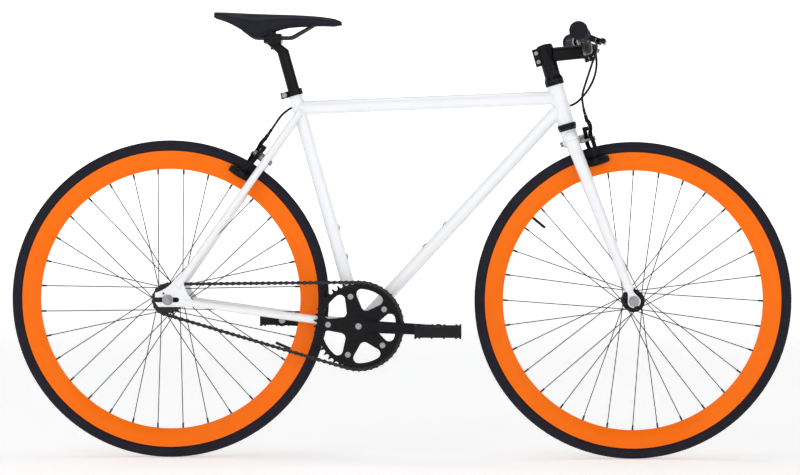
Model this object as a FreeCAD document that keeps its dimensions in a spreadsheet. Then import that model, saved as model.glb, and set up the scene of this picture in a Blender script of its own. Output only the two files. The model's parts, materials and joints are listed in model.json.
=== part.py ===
import FreeCAD, Part
import math
import os
import re
from types import SimpleNamespace

import Sketcher
from FreeCAD import Placement, Rotation, Vector

# A fixed gear bicycle in millimetres: +X forward, +Y to the rider's left, +Z up.
# The origin lies on the ground, midway between the axles and in the wheels' plane.

# Driving dimensions

SIZES = {
    # layout
    "wheelbase": "989",
    "tyre_outer_radius": "339",
    "bottom_bracket_drop": "55",
    "head_angle": "73.8",
    "seat_angle": "74.2",
    "fork_offset": "33",
    # general fits
    "running_fit": "0.05",
    "seat_gap": "0.3",
    "cut_overrun": "1",
    # rim, tyre and inner tube
    "rim_outer_radius": "316.7",
    "rim_depth": "39",
    "rim_width": "19.5",
    "rim_flange": "1.9",
    "rim_wall": "1.6",
    "rim_well_depth": "10.7",
    "brake_track_height": "17",
    "rim_nose_width": "6.4",
    "rim_flank_radius": "60",
    "tyre_width": "25",
    "tyre_wall": "2",
    "bead_depth": "7.5",
    "bead_gap": "0.35",
    "inner_tube_wall": "1.2",
    "valve_radius": "3",
    "valve_length": "34",
    "front_valve_angle": "140.625",
    "rear_valve_angle": "-22.5",
    # spokes
    "spoke_count": "32",
    "spoke_crossings": "3",
    "spoke_radius": "1",
    "spoke_head_radius": "1.9",
    "spoke_rim_spread": "1.2",
    "rear_spoke_phase": "5.625",
    "nipple_radius": "2",
    "nipple_length": "12",
    # hubs
    "flange_thickness": "3",
    "front_hub_spacing": "100",
    "front_flange_radius": "24",
    "front_flange_place": "35",
    "front_axle_radius": "4.5",
    "rear_hub_spacing": "120",
    "rear_flange_radius": "28",
    "rear_flange_place": "31",
    "rear_axle_radius": "5",
    "hub_barrel_radius": "13.5",
    "hub_collar_radius": "17",
    "hub_end_gap": "6",
    "hub_bearing_radius": "13",
    "hub_bearing_width": "9",
    "flange_rim": "4.5",
    "cone_radius": "8.5",
    "nut_across_flats": "15",
    "nut_height": "9",
    "nut_washer_radius": "11.5",
    "nut_washer_height": "2",
    "axle_tail": "4",
    "dropout_thickness": "6",
    # chain and sprockets
    "chain_pitch": "12.7",
    "chain_links": "96",
    "chainring_teeth": "46",
    "cog_teeth": "16",
    "chain_line": "44",
    "chain_roller_radius": "3.85",
    "chain_inner_width": "3.6",
    "chain_plate": "1",
    "chain_plate_radius": "4.2",
    "chain_plate_gap": "0.25",
    "chain_pin_radius": "1.8",
    "chain_pin_stub": "0.6",
    "sprocket_thickness": "2.8",
    "tooth_height": "3.2",
    "tooth_seat_gap": "0.3",
    "lockring_radius": "21",
    "lockring_width": "3.4",
    "lockring_notch_radius": "2.2",
    # bottom bracket and cranks
    "shell_width": "68",
    "shell_radius": "20",
    "shell_bore_radius": "17",
    "cup_depth": "13",
    "cup_flange": "2.5",
    "cup_wall": "2",
    "spindle_radius": "8.5",
    "spindle_end_radius": "7.5",
    "crank_length": "170",
    "crank_angle": "-2.5",
    "crank_boss_inner": "39",
    "crank_boss_outer": "62",
    "crank_boss_radius": "19",
    "crank_bolt_seat": "57",
    "crank_bolt_radius": "8",
    "crank_bolt_height": "3",
    "crank_recess_radius": "11",
    "crank_width": "27",
    "crank_tip_width": "22",
    "crank_thickness": "13",
    "crank_corner": "4",
    "crank_spread": "10",
    "crank_eye_radius": "13.5",
    # chainring and spider
    "spider_arms": "5",
    "spider_thickness": "6",
    "bolt_circle_radius": "65",
    "chainring_inner_radius": "79",
    "tab_radius": "9",
    "window_root": "31",
    "window_web": "10.5",
    "window_corner": "11",
    "ring_bolt_radius": "4.9",
    "ring_bolt_head": "1.8",
    "ring_bolt_head_radius": "6",
    "ring_bolt_socket_radius": "2.6",
    # pedals
    "pedal_thread_radius": "7",
    "pedal_collar_radius": "8",
    "pedal_axle_radius": "5",
    "pedal_gap": "5",
    "pedal_width": "88",
    "pedal_length": "98",
    "pedal_height": "28",
    "pedal_barrel_radius": "10",
    "pedal_cage": "4",
    "pedal_bridge": "7",
    "pedal_end_height": "23",
    "pedal_cap": "4",
    "pedal_notches": "7",
    "pedal_notch_depth": "3",
    # frame tubes
    "tube_wall": "1.2",
    "head_tube_low": "402",
    "head_tube_length": "86",
    "head_tube_radius": "18",
    "head_tube_bore_radius": "16.4",
    "seat_tube_length": "521",
    "seat_tube_radius": "14.3",
    "top_tube_radius": "14.3",
    "top_tube_seat_height": "482",
    "top_tube_head_height": "460.5",
    "down_tube_radius": "14.3",
    "down_tube_head_height": "440",
    "seatpost_radius": "12.7",
    "seatpost_fit": "0.08",
    # bottle bosses
    "boss_spacing": "64.5",
    "down_tube_boss_place": "219",
    "seat_tube_boss_place": "149.3",
    "boss_radius": "3.8",
    "boss_bore_radius": "2.1",
    "boss_flange_radius": "5.6",
    "boss_flange": "1.4",
    "boss_lift": "0.1",
    "boss_depth": "6",
    # rear triangle
    "chainstay_root": "20",
    "chainstay_radius": "9.5",
    "stay_tip_radius": "7.5",
    "chainstay_reach": "34",
    "seatstay_radius": "8",
    "seatstay_height": "472",
    "seatstay_root": "17",
    "seatstay_reach": "34",
    "brake_bridge_place": "360",
    "brake_bridge_radius": "7",
    "brake_bridge_half": "30",
    "low_bridge_place": "52",
    "low_bridge_radius": "5.5",
    # track ends
    "dropout_slot_gap": "0.15",
    "dropout_rear": "27",
    "dropout_lip": "15",
    "dropout_sweep": "70",
    "dropout_stay_back": "17",
    "dropout_top": "47",
    "dropout_stay_front": "34",
    "dropout_shoulder": "39",
    "dropout_hollow": "52",
    "dropout_front": "50",
    "dropout_nose": "3",
    "dropout_toe": "47",
    "dropout_slot_end": "20",
    "dropout_eyelet_place": "-9",
    "dropout_eyelet_height": "13.5",
    "dropout_eyelet_radius": "2.3",
    # headset and steerer
    "steerer_radius": "14.3",
    "cup_radius": "20.5",
    "cup_height": "10",
    "head_cup_depth": "12",
    # seat collar
    "collar_height": "13",
    "collar_lip": "1.5",
    "collar_radius": "17.6",
    "collar_bolt_place": "22",
    "collar_lug_width": "20",
    "collar_slit": "2",
    "collar_bolt_radius": "3",
    "collar_bolt_head": "4",
    "collar_bolt_head_radius": "5.5",
    "brake_bolt_radius": "3",
    # fork
    "race_height": "3.7",
    "crown_rise": "19",
    "crown_radius": "14.5",
    "crown_end_radius": "15.2",
    "crown_riser_radius": "17.5",
    "crown_bolt_drop": "7",
    "crown_boss_reach": "18.6",
    "crown_boss_radius": "8.5",
    "blade_spread": "36",
    "blade_tip_radius": "9.5",
    "blade_reach": "24",
    "blade_boss_place": "34",
    "blade_boss_radius": "3.5",
    "blade_boss_lift": "2.5",
    "fork_end_radius": "14",
    "fork_end_neck": "6.5",
    "fork_end_waist": "19",
    "fork_end_top": "38",
    "steerer_wall": "1.6",
    "steerer_drop": "3",
    # headset stack
    "cover_height": "9.5",
    "spacer_count": "3",
    "spacer_height": "9.2",
    "spacer_radius": "17.2",
    "cap_height": "4",
    "cap_bolt_head_radius": "6",
    "cap_socket_radius": "2.6",
    "star_nut_depth": "24",
    # stem
    "stem_clamp_height": "38",
    "stem_reach": "84",
    "stem_drop": "15.3",
    "stem_sleeve_radius": "18",
    "stem_width": "30",
    "stem_height": "30",
    "stem_corner": "9",
    "stem_clamp_wall": "4.5",
    "faceplate_width": "44",
    "faceplate_gap": "1.2",
    "face_lug": "8",
    "face_bolt_spread": "19",
    "face_bolt_head_radius": "4",
    "pinch_place": "21",
    "pinch_lug": "7",
    "pinch_width": "20",
    "pinch_slit": "2",
    "pinch_bolt_head_radius": "4.2",
    "stem_bolt_radius": "2.5",
    "stem_bolt_head": "4",
    "stem_bolt_socket_radius": "1.7",
    # handlebar and grips
    "bar_radius": "11.1",
    "bar_wall": "1.8",
    "bar_clamp_radius": "12.7",
    "bar_bulge": "32",
    "bar_taper": "14",
    "bar_half_width": "286",
    "bar_rise": "31",
    "bar_sweep": "25",
    "bar_foot": "62",
    "bar_knee": "112",
    "bar_knee_share": "0.25",
    "bar_knee_rise_share": "0.86",
    "bar_bend_radius": "60",
    "grip_length": "125",
    "grip_radius": "15.5",
    "grip_flange": "4",
    "grip_flange_radius": "19.5",
    "grip_cap": "3",
    # brake levers
    "lever_slope": "22",
    "lever_gap": "4",
    "lever_clamp_width": "16",
    "lever_clamp_wall": "4",
    "lever_pivot_back": "3",
    "lever_pivot_ahead": "34",
    "lever_eye_radius": "7",
    "lever_thickness": "7",
    "lever_cheek": "3",
    "lever_corner": "2.5",
    "lever_pin_radius": "2.5",
    "lever_blade_length": "112",
    "lever_bow": "17",
    "lever_blade_width": "9",
    "lever_blade_height": "11",
    "adjuster_ahead": "24",
    "adjuster_length": "20",
    "adjuster_radius": "4",
    # calipers
    "caliper_standoff": "10",
    "arm_thickness": "9",
    "arm_gap": "1",
    "arm_width": "9",
    "arm_bow": "4",
    "arm_tip": "7",
    "arm_eye_radius": "9",
    "anchor_across": "33",
    "anchor_height": "18",
    "anchor_screw": "4",
    "anchor_screw_radius": "4.5",
    "adjuster_foot": "31",
    "caliper_adjuster_length": "16",
    "wire_radius": "0.8",
    "wire_gap": "1.5",
    "pivot_across": "22",
    "pivot_drop": "5",
    "pivot_radius": "3.5",
    "pivot_cap": "1.8",
    "pivot_cap_radius": "5.25",
    "brake_nut": "6",
    "brake_nut_radius": "5.5",
    "pad_gap": "2.2",
    "pad_thickness": "9",
    "pad_height": "11",
    "pad_length": "52",
    "stud_radius": "2.8",
    "stud_nut": "5",
    "stud_nut_radius": "5.6",
    "pad_standoff": "1.2",
    # cables
    "cable_radius": "2.5",
    "cable_lead": "28",
    "front_stop_lead": "34",
    "rear_stop_lead": "22",
    "clip_lead": "24",
    "tail_lead": "44",
    "tail_swing": "6",
    "clip_wall": "1",
    "clip_width": "7",
    "clip_count": "3",
    "clip_inset": "26",
    "front_clip_place": "500",
    "rear_clip_place": "52",
    # seatpost and rail clamp
    "post_insertion": "165",
    "post_length": "264",
    "post_wall": "2",
    "post_head_length": "30",
    "post_head_width": "34",
    "clamp_place": "-276",
    "clamp_length": "38",
    "clamp_overhang": "14",
    "clamp_plate": "5",
    "clamp_parting": "3",
    "cradle_height": "8",
    "clamp_bolt_radius": "3.5",
    "clamp_bolt_head": "5",
    "clamp_bolt_head_radius": "6",
    "clamp_bolt_drop": "8",
    # saddle
    "saddle_tail": "-400",
    "saddle_length": "270",
    "saddle_width": "134",
    "saddle_bottom": "897",
    "saddle_depth": "55",
    "cover_side": "5",
    "cover_padding": "8",
    "base_wall": "2.5",
    "rail_radius": "3.5",
    "rail_height": "897",
    "rail_spread": "22",
    "rail_nose": "-186",
    "rail_nose_spread": "6.5",
    "rail_nose_rise": "29",
    "rail_bend": "-236",
    "rail_kick": "-318",
    "rail_tail": "-356",
    "rail_tail_spread": "34",
    "rail_tail_rise": "35",
    "rail_bend_radius": "24",
    "socket_size": "14",
}

doc = FreeCAD.newDocument("FixedGearBicycle")
sheet = doc.addObject("Spreadsheet::Sheet", "Sizes")
for row, (alias, text) in enumerate(SIZES.items(), start=1):
    sheet.set(f"A{row}", alias)
    sheet.set(f"B{row}", text)
    sheet.setAlias(f"B{row}", alias)
doc.recompute()
dim = SimpleNamespace(**{alias: float(sheet.get(alias)) for alias in SIZES})

X_AXIS = Vector(1, 0, 0)
Y_AXIS = Vector(0, 1, 0)
Z_AXIS = Vector(0, 0, 1)
FULL_TURN = 360
HALF_TURN = 180
QUARTER_TURN = 90
SIDES = (1, -1)
nodes = []


# Helpers: sizes and placements

def value(text):
    """The number that an expression in the sheet's aliases gives."""
    return float(sheet.evalExpression(text))


def bound(text):
    """The same expression, as an object outside the sheet writes it."""
    def qualified(word):
        return "Sizes." + word.group() if word.group() in SIZES else word.group()
    return re.sub(r"[a-z_]+", qualified, text)


def bind(item, **expressions):
    """Tie an object's properties to the sheet."""
    for name, text in expressions.items():
        item.setExpression(name, bound(text))
    return item


def turned_to(direction, start=None):
    """A placement whose local Z axis points along a direction from a start point."""
    return Placement(start or Vector(), Rotation(Z_AXIS, direction))


def crosswise(centre):
    """A placement with local Z out of the drive side (-Y), local X forward and local Y up."""
    return Placement(centre, Rotation(X_AXIS, QUARTER_TURN))


def polar(radius, angle, height=0.0):
    """A point given by radius and angle in degrees about local Z."""
    return Vector(radius * math.cos(math.radians(angle)), radius * math.sin(math.radians(angle)), height)


# Helpers: document objects

def node(label, item):
    """Name a finished sub-part and keep it for writing."""
    item.Label = label
    nodes.append(item)
    return item


def made(name, shape, placement=None):
    """A sub-part whose form no primitive or sketch gives."""
    item = doc.addObject("Part::Feature", name)
    item.Shape = shape
    if placement:
        item.Placement = placement
    return item


def cylinder(name, radius, height, placement=None):
    item = bind(doc.addObject("Part::Cylinder", name), Radius=radius, Height=height)
    item.Placement = placement or Placement()
    return item


def ball(name, radius, centre):
    item = bind(doc.addObject("Part::Sphere", name), Radius=radius)
    item.Placement = crosswise(centre)
    return item


def block(name, length, width, height, placement=None):
    """A box centred on its placement."""
    item = bind(doc.addObject("Part::Box", name), Length=length, Width=width, Height=height)
    middle = Vector(-value(length) / 2, -value(width) / 2, -value(height) / 2)
    item.Placement = (placement or Placement()).multiply(Placement(middle, Rotation()))
    return item


def hexagon(name, across_flats, height, placement=None):
    item = doc.addObject("Part::Prism", name)
    item.Polygon = 6
    bind(item, Circumradius=f"({across_flats}) / 2 / cos(30)", Height=height)
    item.Placement = placement or Placement()
    return item


def fuse(name, pieces):
    item = doc.addObject("Part::MultiFuse", name)
    item.Shapes = pieces
    return item


def cut(name, base, tool):
    item = doc.addObject("Part::Cut", name)
    item.Base = base
    item.Tool = tool
    return item


def group(name, pieces):
    """Separate solids kept in one sub-part."""
    item = doc.addObject("Part::Compound", name)
    item.Links = pieces
    return item


def arc_middle(first, last, radius, turn):
    """The middle of the short arc from first to last that turns left (1) or right (-1)."""
    chord = last - first
    sagitta = radius - math.sqrt(max(0.0, radius ** 2 - (chord.Length / 2) ** 2))
    side = Vector(chord.y, -chord.x, 0).normalize()
    return (first + last) / 2 + side * sagitta * turn


def add_outline(sketch, outline):
    """Draw a closed outline and tie each corner and arc radius to the sheet.

    A corner is (x, y), or (x, y, radius, turn) where an arc leads on to the next corner.
    """
    corners = [Vector(value(corner[0]), value(corner[1]), 0) for corner in outline]
    edges = []
    for corner, first, last in zip(outline, corners, corners[1:] + corners[:1]):
        if len(corner) == 2:
            edges.append((sketch.addGeometry(Part.LineSegment(first, last), False), 1, 2))
            continue
        radius, turn = corner[2:]
        curve = Part.Arc(first, arc_middle(first, last, value(radius), turn), last)
        number = sketch.addGeometry(curve, False)
        edges.append((number, 1, 2) if turn > 0 else (number, 2, 1))
    for edge, following in zip(edges, edges[1:] + edges[:1]):
        sketch.addConstraint(Sketcher.Constraint("Coincident", edge[0], edge[2], following[0], following[1]))
    for corner, (edge, start, end) in zip(outline, edges):
        for kind, text in (("DistanceX", corner[0]), ("DistanceY", corner[1])):
            number = sketch.addConstraint(Sketcher.Constraint(kind, -1, 1, edge, start, value(text)))
            sketch.setExpression(f"Constraints[{number}]", bound(text))
        if len(corner) > 2:
            number = sketch.addConstraint(Sketcher.Constraint("Radius", edge, value(corner[2])))
            sketch.setExpression(f"Constraints[{number}]", bound(corner[2]))


def outline_sketch(body, role, outlines):
    """A sketch on one of the body's own origin planes."""
    plane = next(item for item in body.Origin.OriginFeatures if item.Role == role)
    sketch = body.newObject("Sketcher::SketchObject", body.Name + "Outline")
    sketch.AttachmentSupport = [(plane, "")]
    sketch.MapMode = "FlatFace"
    for outline in outlines:
        add_outline(sketch, outline)
    return sketch


def turned(name, *outlines, placement=None):
    """A piece turned about local Z from outlines of (radius, height)."""
    body = doc.addObject("PartDesign::Body", name)
    sketch = outline_sketch(body, "XZ_Plane", outlines)
    feature = body.newObject("PartDesign::Revolution", name + "Turn")
    feature.Profile = sketch
    feature.ReferenceAxis = (sketch, ["V_Axis"])
    feature.Angle = FULL_TURN
    body.Placement = placement or Placement()
    return body


def ring(name, inner, outer, low, high, placement=None):
    """A plain turned ring."""
    return turned(name, [(inner, low), (outer, low), (outer, high), (inner, high)], placement=placement)


def plate(name, thickness, *outlines, placement=None):
    """A flat piece cut from sheet in its local XY plane."""
    body = doc.addObject("PartDesign::Body", name)
    sketch = outline_sketch(body, "XY_Plane", outlines)
    feature = body.newObject("PartDesign::Pad", name + "Pad")
    feature.Profile = sketch
    bind(feature, Length=thickness)
    body.Placement = placement or Placement()
    return body


arc_reach_share = 0.45


def rounded_path(points, radius):
    """Straight runs joined by tangent arcs at inner points, the largest that fit where none is given."""
    edges = []
    start = points[0]
    for before, corner, after in zip(points, points[1:], points[2:]):
        back = (before - corner).normalize()
        ahead = (after - corner).normalize()
        half = back.getAngle(ahead) / 2
        shorter = min((before - corner).Length, (after - corner).Length)
        reach = radius / math.tan(half) if radius else shorter * arc_reach_share
        bend = reach * math.tan(half)
        middle = corner + (back + ahead).normalize() * (bend / math.sin(half) - bend)
        first = corner + back * reach
        last = corner + ahead * reach
        if (first - start).Length > dim.running_fit:
            edges.append(Part.LineSegment(start, first).toShape())
        edges.append(Part.Arc(first, middle, last).toShape())
        start = last
    edges.append(Part.LineSegment(start, points[-1]).toShape())
    return Part.Wire(edges)


def bar_along(path, radius):
    """A round bar swept along a path."""
    start = path.Edges[0].firstVertex().Point
    heading = path.Edges[0].tangentAt(path.Edges[0].FirstParameter)
    section = Part.Wire(Part.makeCircle(radius, start, heading))
    return path.makePipeShell([section], True, False)


def rod(start, end, radius):
    """A straight round rod between two points."""
    return Part.makeCylinder(radius, (end - start).Length, start, end - start)


# Layout in the bicycle's centre plane

def pitch_radius(teeth):
    return dim.chain_pitch / 2 / math.sin(math.pi / teeth)


ring_pitch_radius = pitch_radius(dim.chainring_teeth)
cog_pitch_radius = pitch_radius(dim.cog_teeth)


def chain_layout(centres):
    """Pitches round the ring, round the cog and along one run, for a distance between the axles."""
    lean = math.asin((ring_pitch_radius - cog_pitch_radius) / centres)
    on_ring = dim.chainring_teeth * (math.pi + 2 * lean) / (2 * math.pi)
    on_cog = dim.cog_teeth * (math.pi - 2 * lean) / (2 * math.pi)
    run = centres * math.cos(lean) / dim.chain_pitch
    return lean, on_ring, on_cog, run


def chainstay_for_chain():
    """The distance from crank to rear axle that a whole number of links pulls tight."""
    centres = dim.chain_pitch * dim.chain_links / 3
    for _ in range(FULL_TURN):
        _, on_ring, on_cog, run = chain_layout(centres)
        centres += (dim.chain_links - on_ring - on_cog - 2 * run) * dim.chain_pitch / 2
    return centres


axle_height = dim.tyre_outer_radius
rear_axle_at = Vector(-dim.wheelbase / 2, 0, axle_height)
front_axle_at = Vector(dim.wheelbase / 2, 0, axle_height)
chainstay_length = chainstay_for_chain()
crank_forward = math.sqrt(chainstay_length ** 2 - dim.bottom_bracket_drop ** 2)
crank_at = rear_axle_at + Vector(crank_forward, 0, -dim.bottom_bracket_drop)

head_up = polar(1, HALF_TURN - dim.head_angle)
head_up = Vector(head_up.x, 0, head_up.y)
head_forward = Vector(head_up.z, 0, -head_up.x)
seat_up = polar(1, HALF_TURN - dim.seat_angle)
seat_up = Vector(seat_up.x, 0, seat_up.y)
steer_foot = front_axle_at - head_forward * dim.fork_offset


def on_head(height, forward=0.0, left=0.0):
    """A point given along the steering axis, ahead of it and to the rider's left."""
    return steer_foot + head_up * height + head_forward * forward + Y_AXIS * left


def on_seat(height):
    """A point on the seat tube's axis, measured from the crank axle."""
    return crank_at + seat_up * height


# Wheels

def make_rim(name, drillings):
    half = "rim_width / 2"
    lip = "rim_width / 2 - rim_flange"
    inside = "rim_width / 2 - rim_wall"
    edge = "rim_outer_radius"
    well = "rim_outer_radius - rim_well_depth"
    track = "rim_outer_radius - brake_track_height"
    nose = "rim_outer_radius - rim_depth"
    nose_half = "rim_nose_width / 2"
    section = [
        (edge, half), (edge, lip), (well, lip), (well, f"-({lip})"), (edge, f"-({lip})"), (edge, f"-{half}"),
        (track, f"-{half}", "rim_flank_radius", -1), (nose, f"-{nose_half}"),
        (nose, nose_half, "rim_flank_radius", -1), (track, half),
    ]
    ceiling = f"{well} - rim_wall"
    floor = f"{nose} + rim_wall"
    cavity = [
        (ceiling, inside), (ceiling, f"-({inside})"), (track, f"-({inside})", "rim_flank_radius", -1),
        (floor, f"-({nose_half} - rim_wall / 2)"),
        (floor, f"{nose_half} - rim_wall / 2", "rim_flank_radius", -1),
        (track, inside),
    ]
    return cut(name, turned(name + "Hoop", section, cavity), drillings)


def make_tyre(name):
    bead = "rim_width / 2 - rim_flange - bead_gap"
    inner_bead = f"{bead} - tyre_wall"
    middle = "tyre_outer_radius - tyre_width / 2"
    outside = "tyre_width / 2"
    inside = "tyre_width / 2 - tyre_wall"
    foot = "rim_outer_radius - bead_depth"
    shoulder = f"{middle} - sqrt(({outside}) ^ 2 - ({bead}) ^ 2)"
    inner_shoulder = f"{middle} - sqrt(({inside}) ^ 2 - ({inner_bead}) ^ 2)"
    crown = "tyre_outer_radius"
    inner_crown = "tyre_outer_radius - tyre_wall"
    section = [
        (foot, bead), (shoulder, bead, outside, -1), (crown, "0", outside, -1), (shoulder, f"-({bead})"),
        (foot, f"-({bead})"), (foot, f"-({inner_bead})"), (inner_shoulder, f"-({inner_bead})", inside, 1),
        (inner_crown, "0", inside, 1), (inner_shoulder, inner_bead), (foot, inner_bead),
    ]
    return turned(name, section)


def make_inner_tube(name, valve_angle):
    """A blown-up tube inside the tyre, with its valve standing through the rim."""
    middle = dim.tyre_outer_radius - dim.tyre_width / 2
    outside = dim.tyre_width / 2 - dim.tyre_wall - dim.seat_gap
    hollow = outside - dim.inner_tube_wall
    tube = Part.makeTorus(middle, outside).cut(Part.makeTorus(middle, hollow))
    foot = middle - outside
    tip = dim.rim_outer_radius - dim.rim_depth - dim.valve_length
    valve = rod(polar(foot + dim.inner_tube_wall / 2, valve_angle), polar(tip, valve_angle), dim.valve_radius)
    return made(name, tube.fuse(valve))


def spoke_lines(flange_place, flange_radius, phase):
    """For each spoke: its elbow, its end in the rim, and the far end of its head in the flange."""
    per_side = int(dim.spoke_count) // 2
    step = FULL_TURN / per_side
    hole_radius = flange_radius - dim.flange_rim
    rim_radius = dim.rim_outer_radius - dim.rim_depth + dim.rim_wall
    lines = []
    for side in SIDES:
        for index in range(per_side):
            hole_angle = phase + index * step + (side < 0) * step / 2
            lead = 1 if index % 2 == 0 else -1
            rim_angle = hole_angle + lead * dim.spoke_crossings * step
            step_out = lead * (dim.flange_thickness / 2 + dim.spoke_radius + dim.running_fit)
            elbow = polar(hole_radius, hole_angle, side * (flange_place + step_out))
            head = polar(hole_radius, hole_angle, side * (flange_place - step_out))
            end = polar(rim_radius, rim_angle, side * dim.spoke_rim_spread)
            lines.append((elbow, end, head))
    return lines


def make_spokes(name, lines):
    """Bent spokes, each with its head through the flange and its nipple in the rim."""
    spokes = []
    for elbow, end, head in lines:
        back = (elbow - end).normalize()
        through = (head - elbow).normalize()
        nipple = rod(end, end + back * dim.nipple_length, dim.nipple_radius)
        shank = rod(elbow, end, dim.spoke_radius)
        stub = rod(elbow, head, dim.spoke_radius)
        bend = Part.makeSphere(dim.spoke_radius, elbow)
        button = rod(head, head + through * dim.spoke_radius, dim.spoke_head_radius)
        spokes.append(shank.multiFuse([nipple, stub, bend, button]).removeSplitter())
    return made(name, Part.makeCompound(spokes))


def rim_drillings(name, lines, valve_angle):
    """Holes for the nipples, square to the spokes, and one for the valve."""
    holes = []
    for elbow, end, _ in lines:
        ahead = (end - elbow).normalize() * dim.rim_wall
        holes.append(rod(end - ahead * 3, end + ahead * 3, dim.nipple_radius + dim.running_fit))
    inside = dim.rim_outer_radius - dim.rim_depth - dim.cut_overrun
    outside = dim.rim_outer_radius - dim.rim_well_depth + dim.cut_overrun
    valve = rod(polar(inside, valve_angle), polar(outside, valve_angle), dim.valve_radius + dim.seat_gap)
    return made(name, Part.makeCompound(holes + [valve]))


def spoke_way(length, elbow, end, head):
    """A spoke's hole through the flange and the groove where it lies over the flange's edge."""
    radius = dim.spoke_radius + dim.running_fit
    along = (end - elbow).normalize()
    return rod(elbow, head, radius).fuse(rod(elbow, elbow + along * length, radius))


def make_hub(name, spacing, flange_place, flange_radius, axle_radius, lines):
    """A hub shell with drilled flanges and a bearing pressed into each end."""
    end = f"{spacing} / 2 - hub_end_gap"
    seat = f"{end} - hub_bearing_width"
    outer = f"{flange_place} + flange_thickness / 2"
    inner = f"{flange_place} - flange_thickness / 2"
    bore = "hub_bearing_radius - rim_wall * 2"
    half = [
        ("hub_bearing_radius", seat), ("hub_bearing_radius", end), ("hub_collar_radius", end),
        ("hub_collar_radius", outer), (flange_radius, outer), (flange_radius, inner),
        ("hub_barrel_radius", inner),
    ]
    mirrored = [(radius, f"-({height})") for radius, height in reversed(half)]
    section = [(bore, seat)] + half + mirrored + [(bore, f"-({seat})")]
    ways = [spoke_way(value(flange_radius), *line) for line in lines]
    shell = cut(name + "Shell", turned(name + "Blank", section),
                made(name + "Holes", Part.makeCompound(ways)))
    race = f"{axle_radius} + running_fit"
    bearings = [
        ring(name + "LeftBearing", race, "hub_bearing_radius", f"-({end})", f"-({seat})"),
        ring(name + "RightBearing", race, "hub_bearing_radius", seat, end),
    ]
    return group(name, [shell] + bearings)


def make_axle(name, spacing, axle_radius):
    """A threaded axle with a cone and locknut against each dropout."""
    tip = f"{spacing} / 2 + dropout_thickness + nut_washer_height + nut_height + axle_tail"
    seat = f"{spacing} / 2"
    cone_face = f"{spacing} / 2 - hub_end_gap + seat_gap"
    section = [
        ("0", f"-({tip})"), (axle_radius, f"-({tip})"), (axle_radius, f"-({seat})"),
        ("cone_radius", f"-({seat})"),
        ("cone_radius", f"-({cone_face})"), (axle_radius, f"-({cone_face})"), (axle_radius, cone_face),
        ("cone_radius", cone_face), ("cone_radius", seat), (axle_radius, seat), (axle_radius, tip),
        ("0", tip),
    ]
    return turned(name, section)


def make_axle_nut(name, spacing, axle_radius, side):
    """A flanged hexagon nut on one end of an axle."""
    face = side * (value(f"{spacing} / 2 + dropout_thickness"))
    place = Placement(Vector(0, 0, face), Rotation(X_AXIS, 0 if side > 0 else HALF_TURN))
    washer = cylinder(name + "Washer", "nut_washer_radius", "nut_washer_height", place)
    top = place.multiply(Placement(Vector(0, 0, dim.nut_washer_height), Rotation()))
    hexagon_body = hexagon(name + "Hexagon", "nut_across_flats", "nut_height", top)
    bore = cylinder(name + "Bore", f"{axle_radius} + running_fit",
                    "nut_washer_height + nut_height + 2 * cut_overrun",
                    place.multiply(Placement(Vector(0, 0, -dim.cut_overrun), Rotation())))
    return cut(name, fuse(name + "Solid", [washer, hexagon_body]), bore)


def make_wheel(end, centre, phase, valve_angle):
    """Rim, tyre, inner tube, spokes, hub, axle and nuts of the front or rear wheel."""
    place = crosswise(centre)
    spacing = f"{end}_hub_spacing"
    axle_radius = f"{end}_axle_radius"
    flange_place = f"{end}_flange_place"
    flange_radius = f"{end}_flange_radius"
    lines = spoke_lines(value(flange_place), value(flange_radius), phase)
    title = end.capitalize()
    axle = make_axle(title + "Axle", spacing, axle_radius)
    nuts = [make_axle_nut(f"{title}Nut{number}", spacing, axle_radius, side) for number,
            side in enumerate(SIDES)]
    pieces = {
        f"{end}_rim": make_rim(title + "Rim", rim_drillings(title + "Drillings", lines, valve_angle)),
        f"{end}_tyre": make_tyre(title + "Tyre"),
        f"{end}_inner_tube": make_inner_tube(title + "Tube", valve_angle),
        f"{end}_spokes": make_spokes(title + "Spokes", lines),
        f"{end}_hub": make_hub(title + "Hub", spacing, flange_place, flange_radius, axle_radius, lines),
        f"{end}_axle": group(title + "AxleSet", [axle] + nuts),
    }
    for label, item in pieces.items():
        item.Placement = place
        node(label, item)


make_wheel("front", front_axle_at, 0, dim.front_valve_angle)
make_wheel("rear", rear_axle_at, dim.rear_spoke_phase, dim.rear_valve_angle)

# Drive: chain, sprockets, bottom bracket, cranks and pedals

def rounded_section(centre, wide, tall, width, height, corner):
    """A rectangle with rounded corners, given by its centre and two unit directions."""
    def at(across, up):
        return centre + wide * across + tall * up

    far = width / 2
    near = far - corner
    top = height / 2
    low = top - corner
    slant = corner * (1 - math.sqrt(0.5))
    edges = []
    for turn in range(4):
        right, up = ((1, 1), (-1, 1), (-1, -1), (1, -1))[turn]
        first, last = (at(far * right, low * up), at(near * right, top * up))
        if right * up < 0:
            first, last = last, first
        middle = at((far - slant) * right, (top - slant) * up)
        edges.append((first, middle, last))
    wire = []
    for (first, middle, last), (following, _, _) in zip(edges, edges[1:] + edges[:1]):
        wire.append(Part.Arc(first, middle, last).toShape())
        wire.append(Part.LineSegment(last, following).toShape())
    return Part.Wire(wire)


def chain_joint(pitches):
    """The chain's joint that lies so many pitches past the top of the chainring."""
    if pitches < ring_wrap:
        return ring_centre + polar(ring_pitch_radius, top_angle - pitches * FULL_TURN / dim.chainring_teeth)
    pitches -= ring_wrap
    if pitches < run_pitches:
        start = ring_centre + polar(ring_pitch_radius, low_angle)
        end = cog_centre + polar(cog_pitch_radius, low_angle)
        return start + (end - start) * (pitches / run_pitches)
    pitches -= run_pitches
    if pitches < cog_wrap:
        return cog_centre + polar(cog_pitch_radius, low_angle - pitches * FULL_TURN / dim.cog_teeth)
    pitches -= cog_wrap
    start = cog_centre + polar(cog_pitch_radius, top_angle)
    end = ring_centre + polar(ring_pitch_radius, top_angle)
    return start + (end - start) * (pitches / run_pitches)


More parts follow.
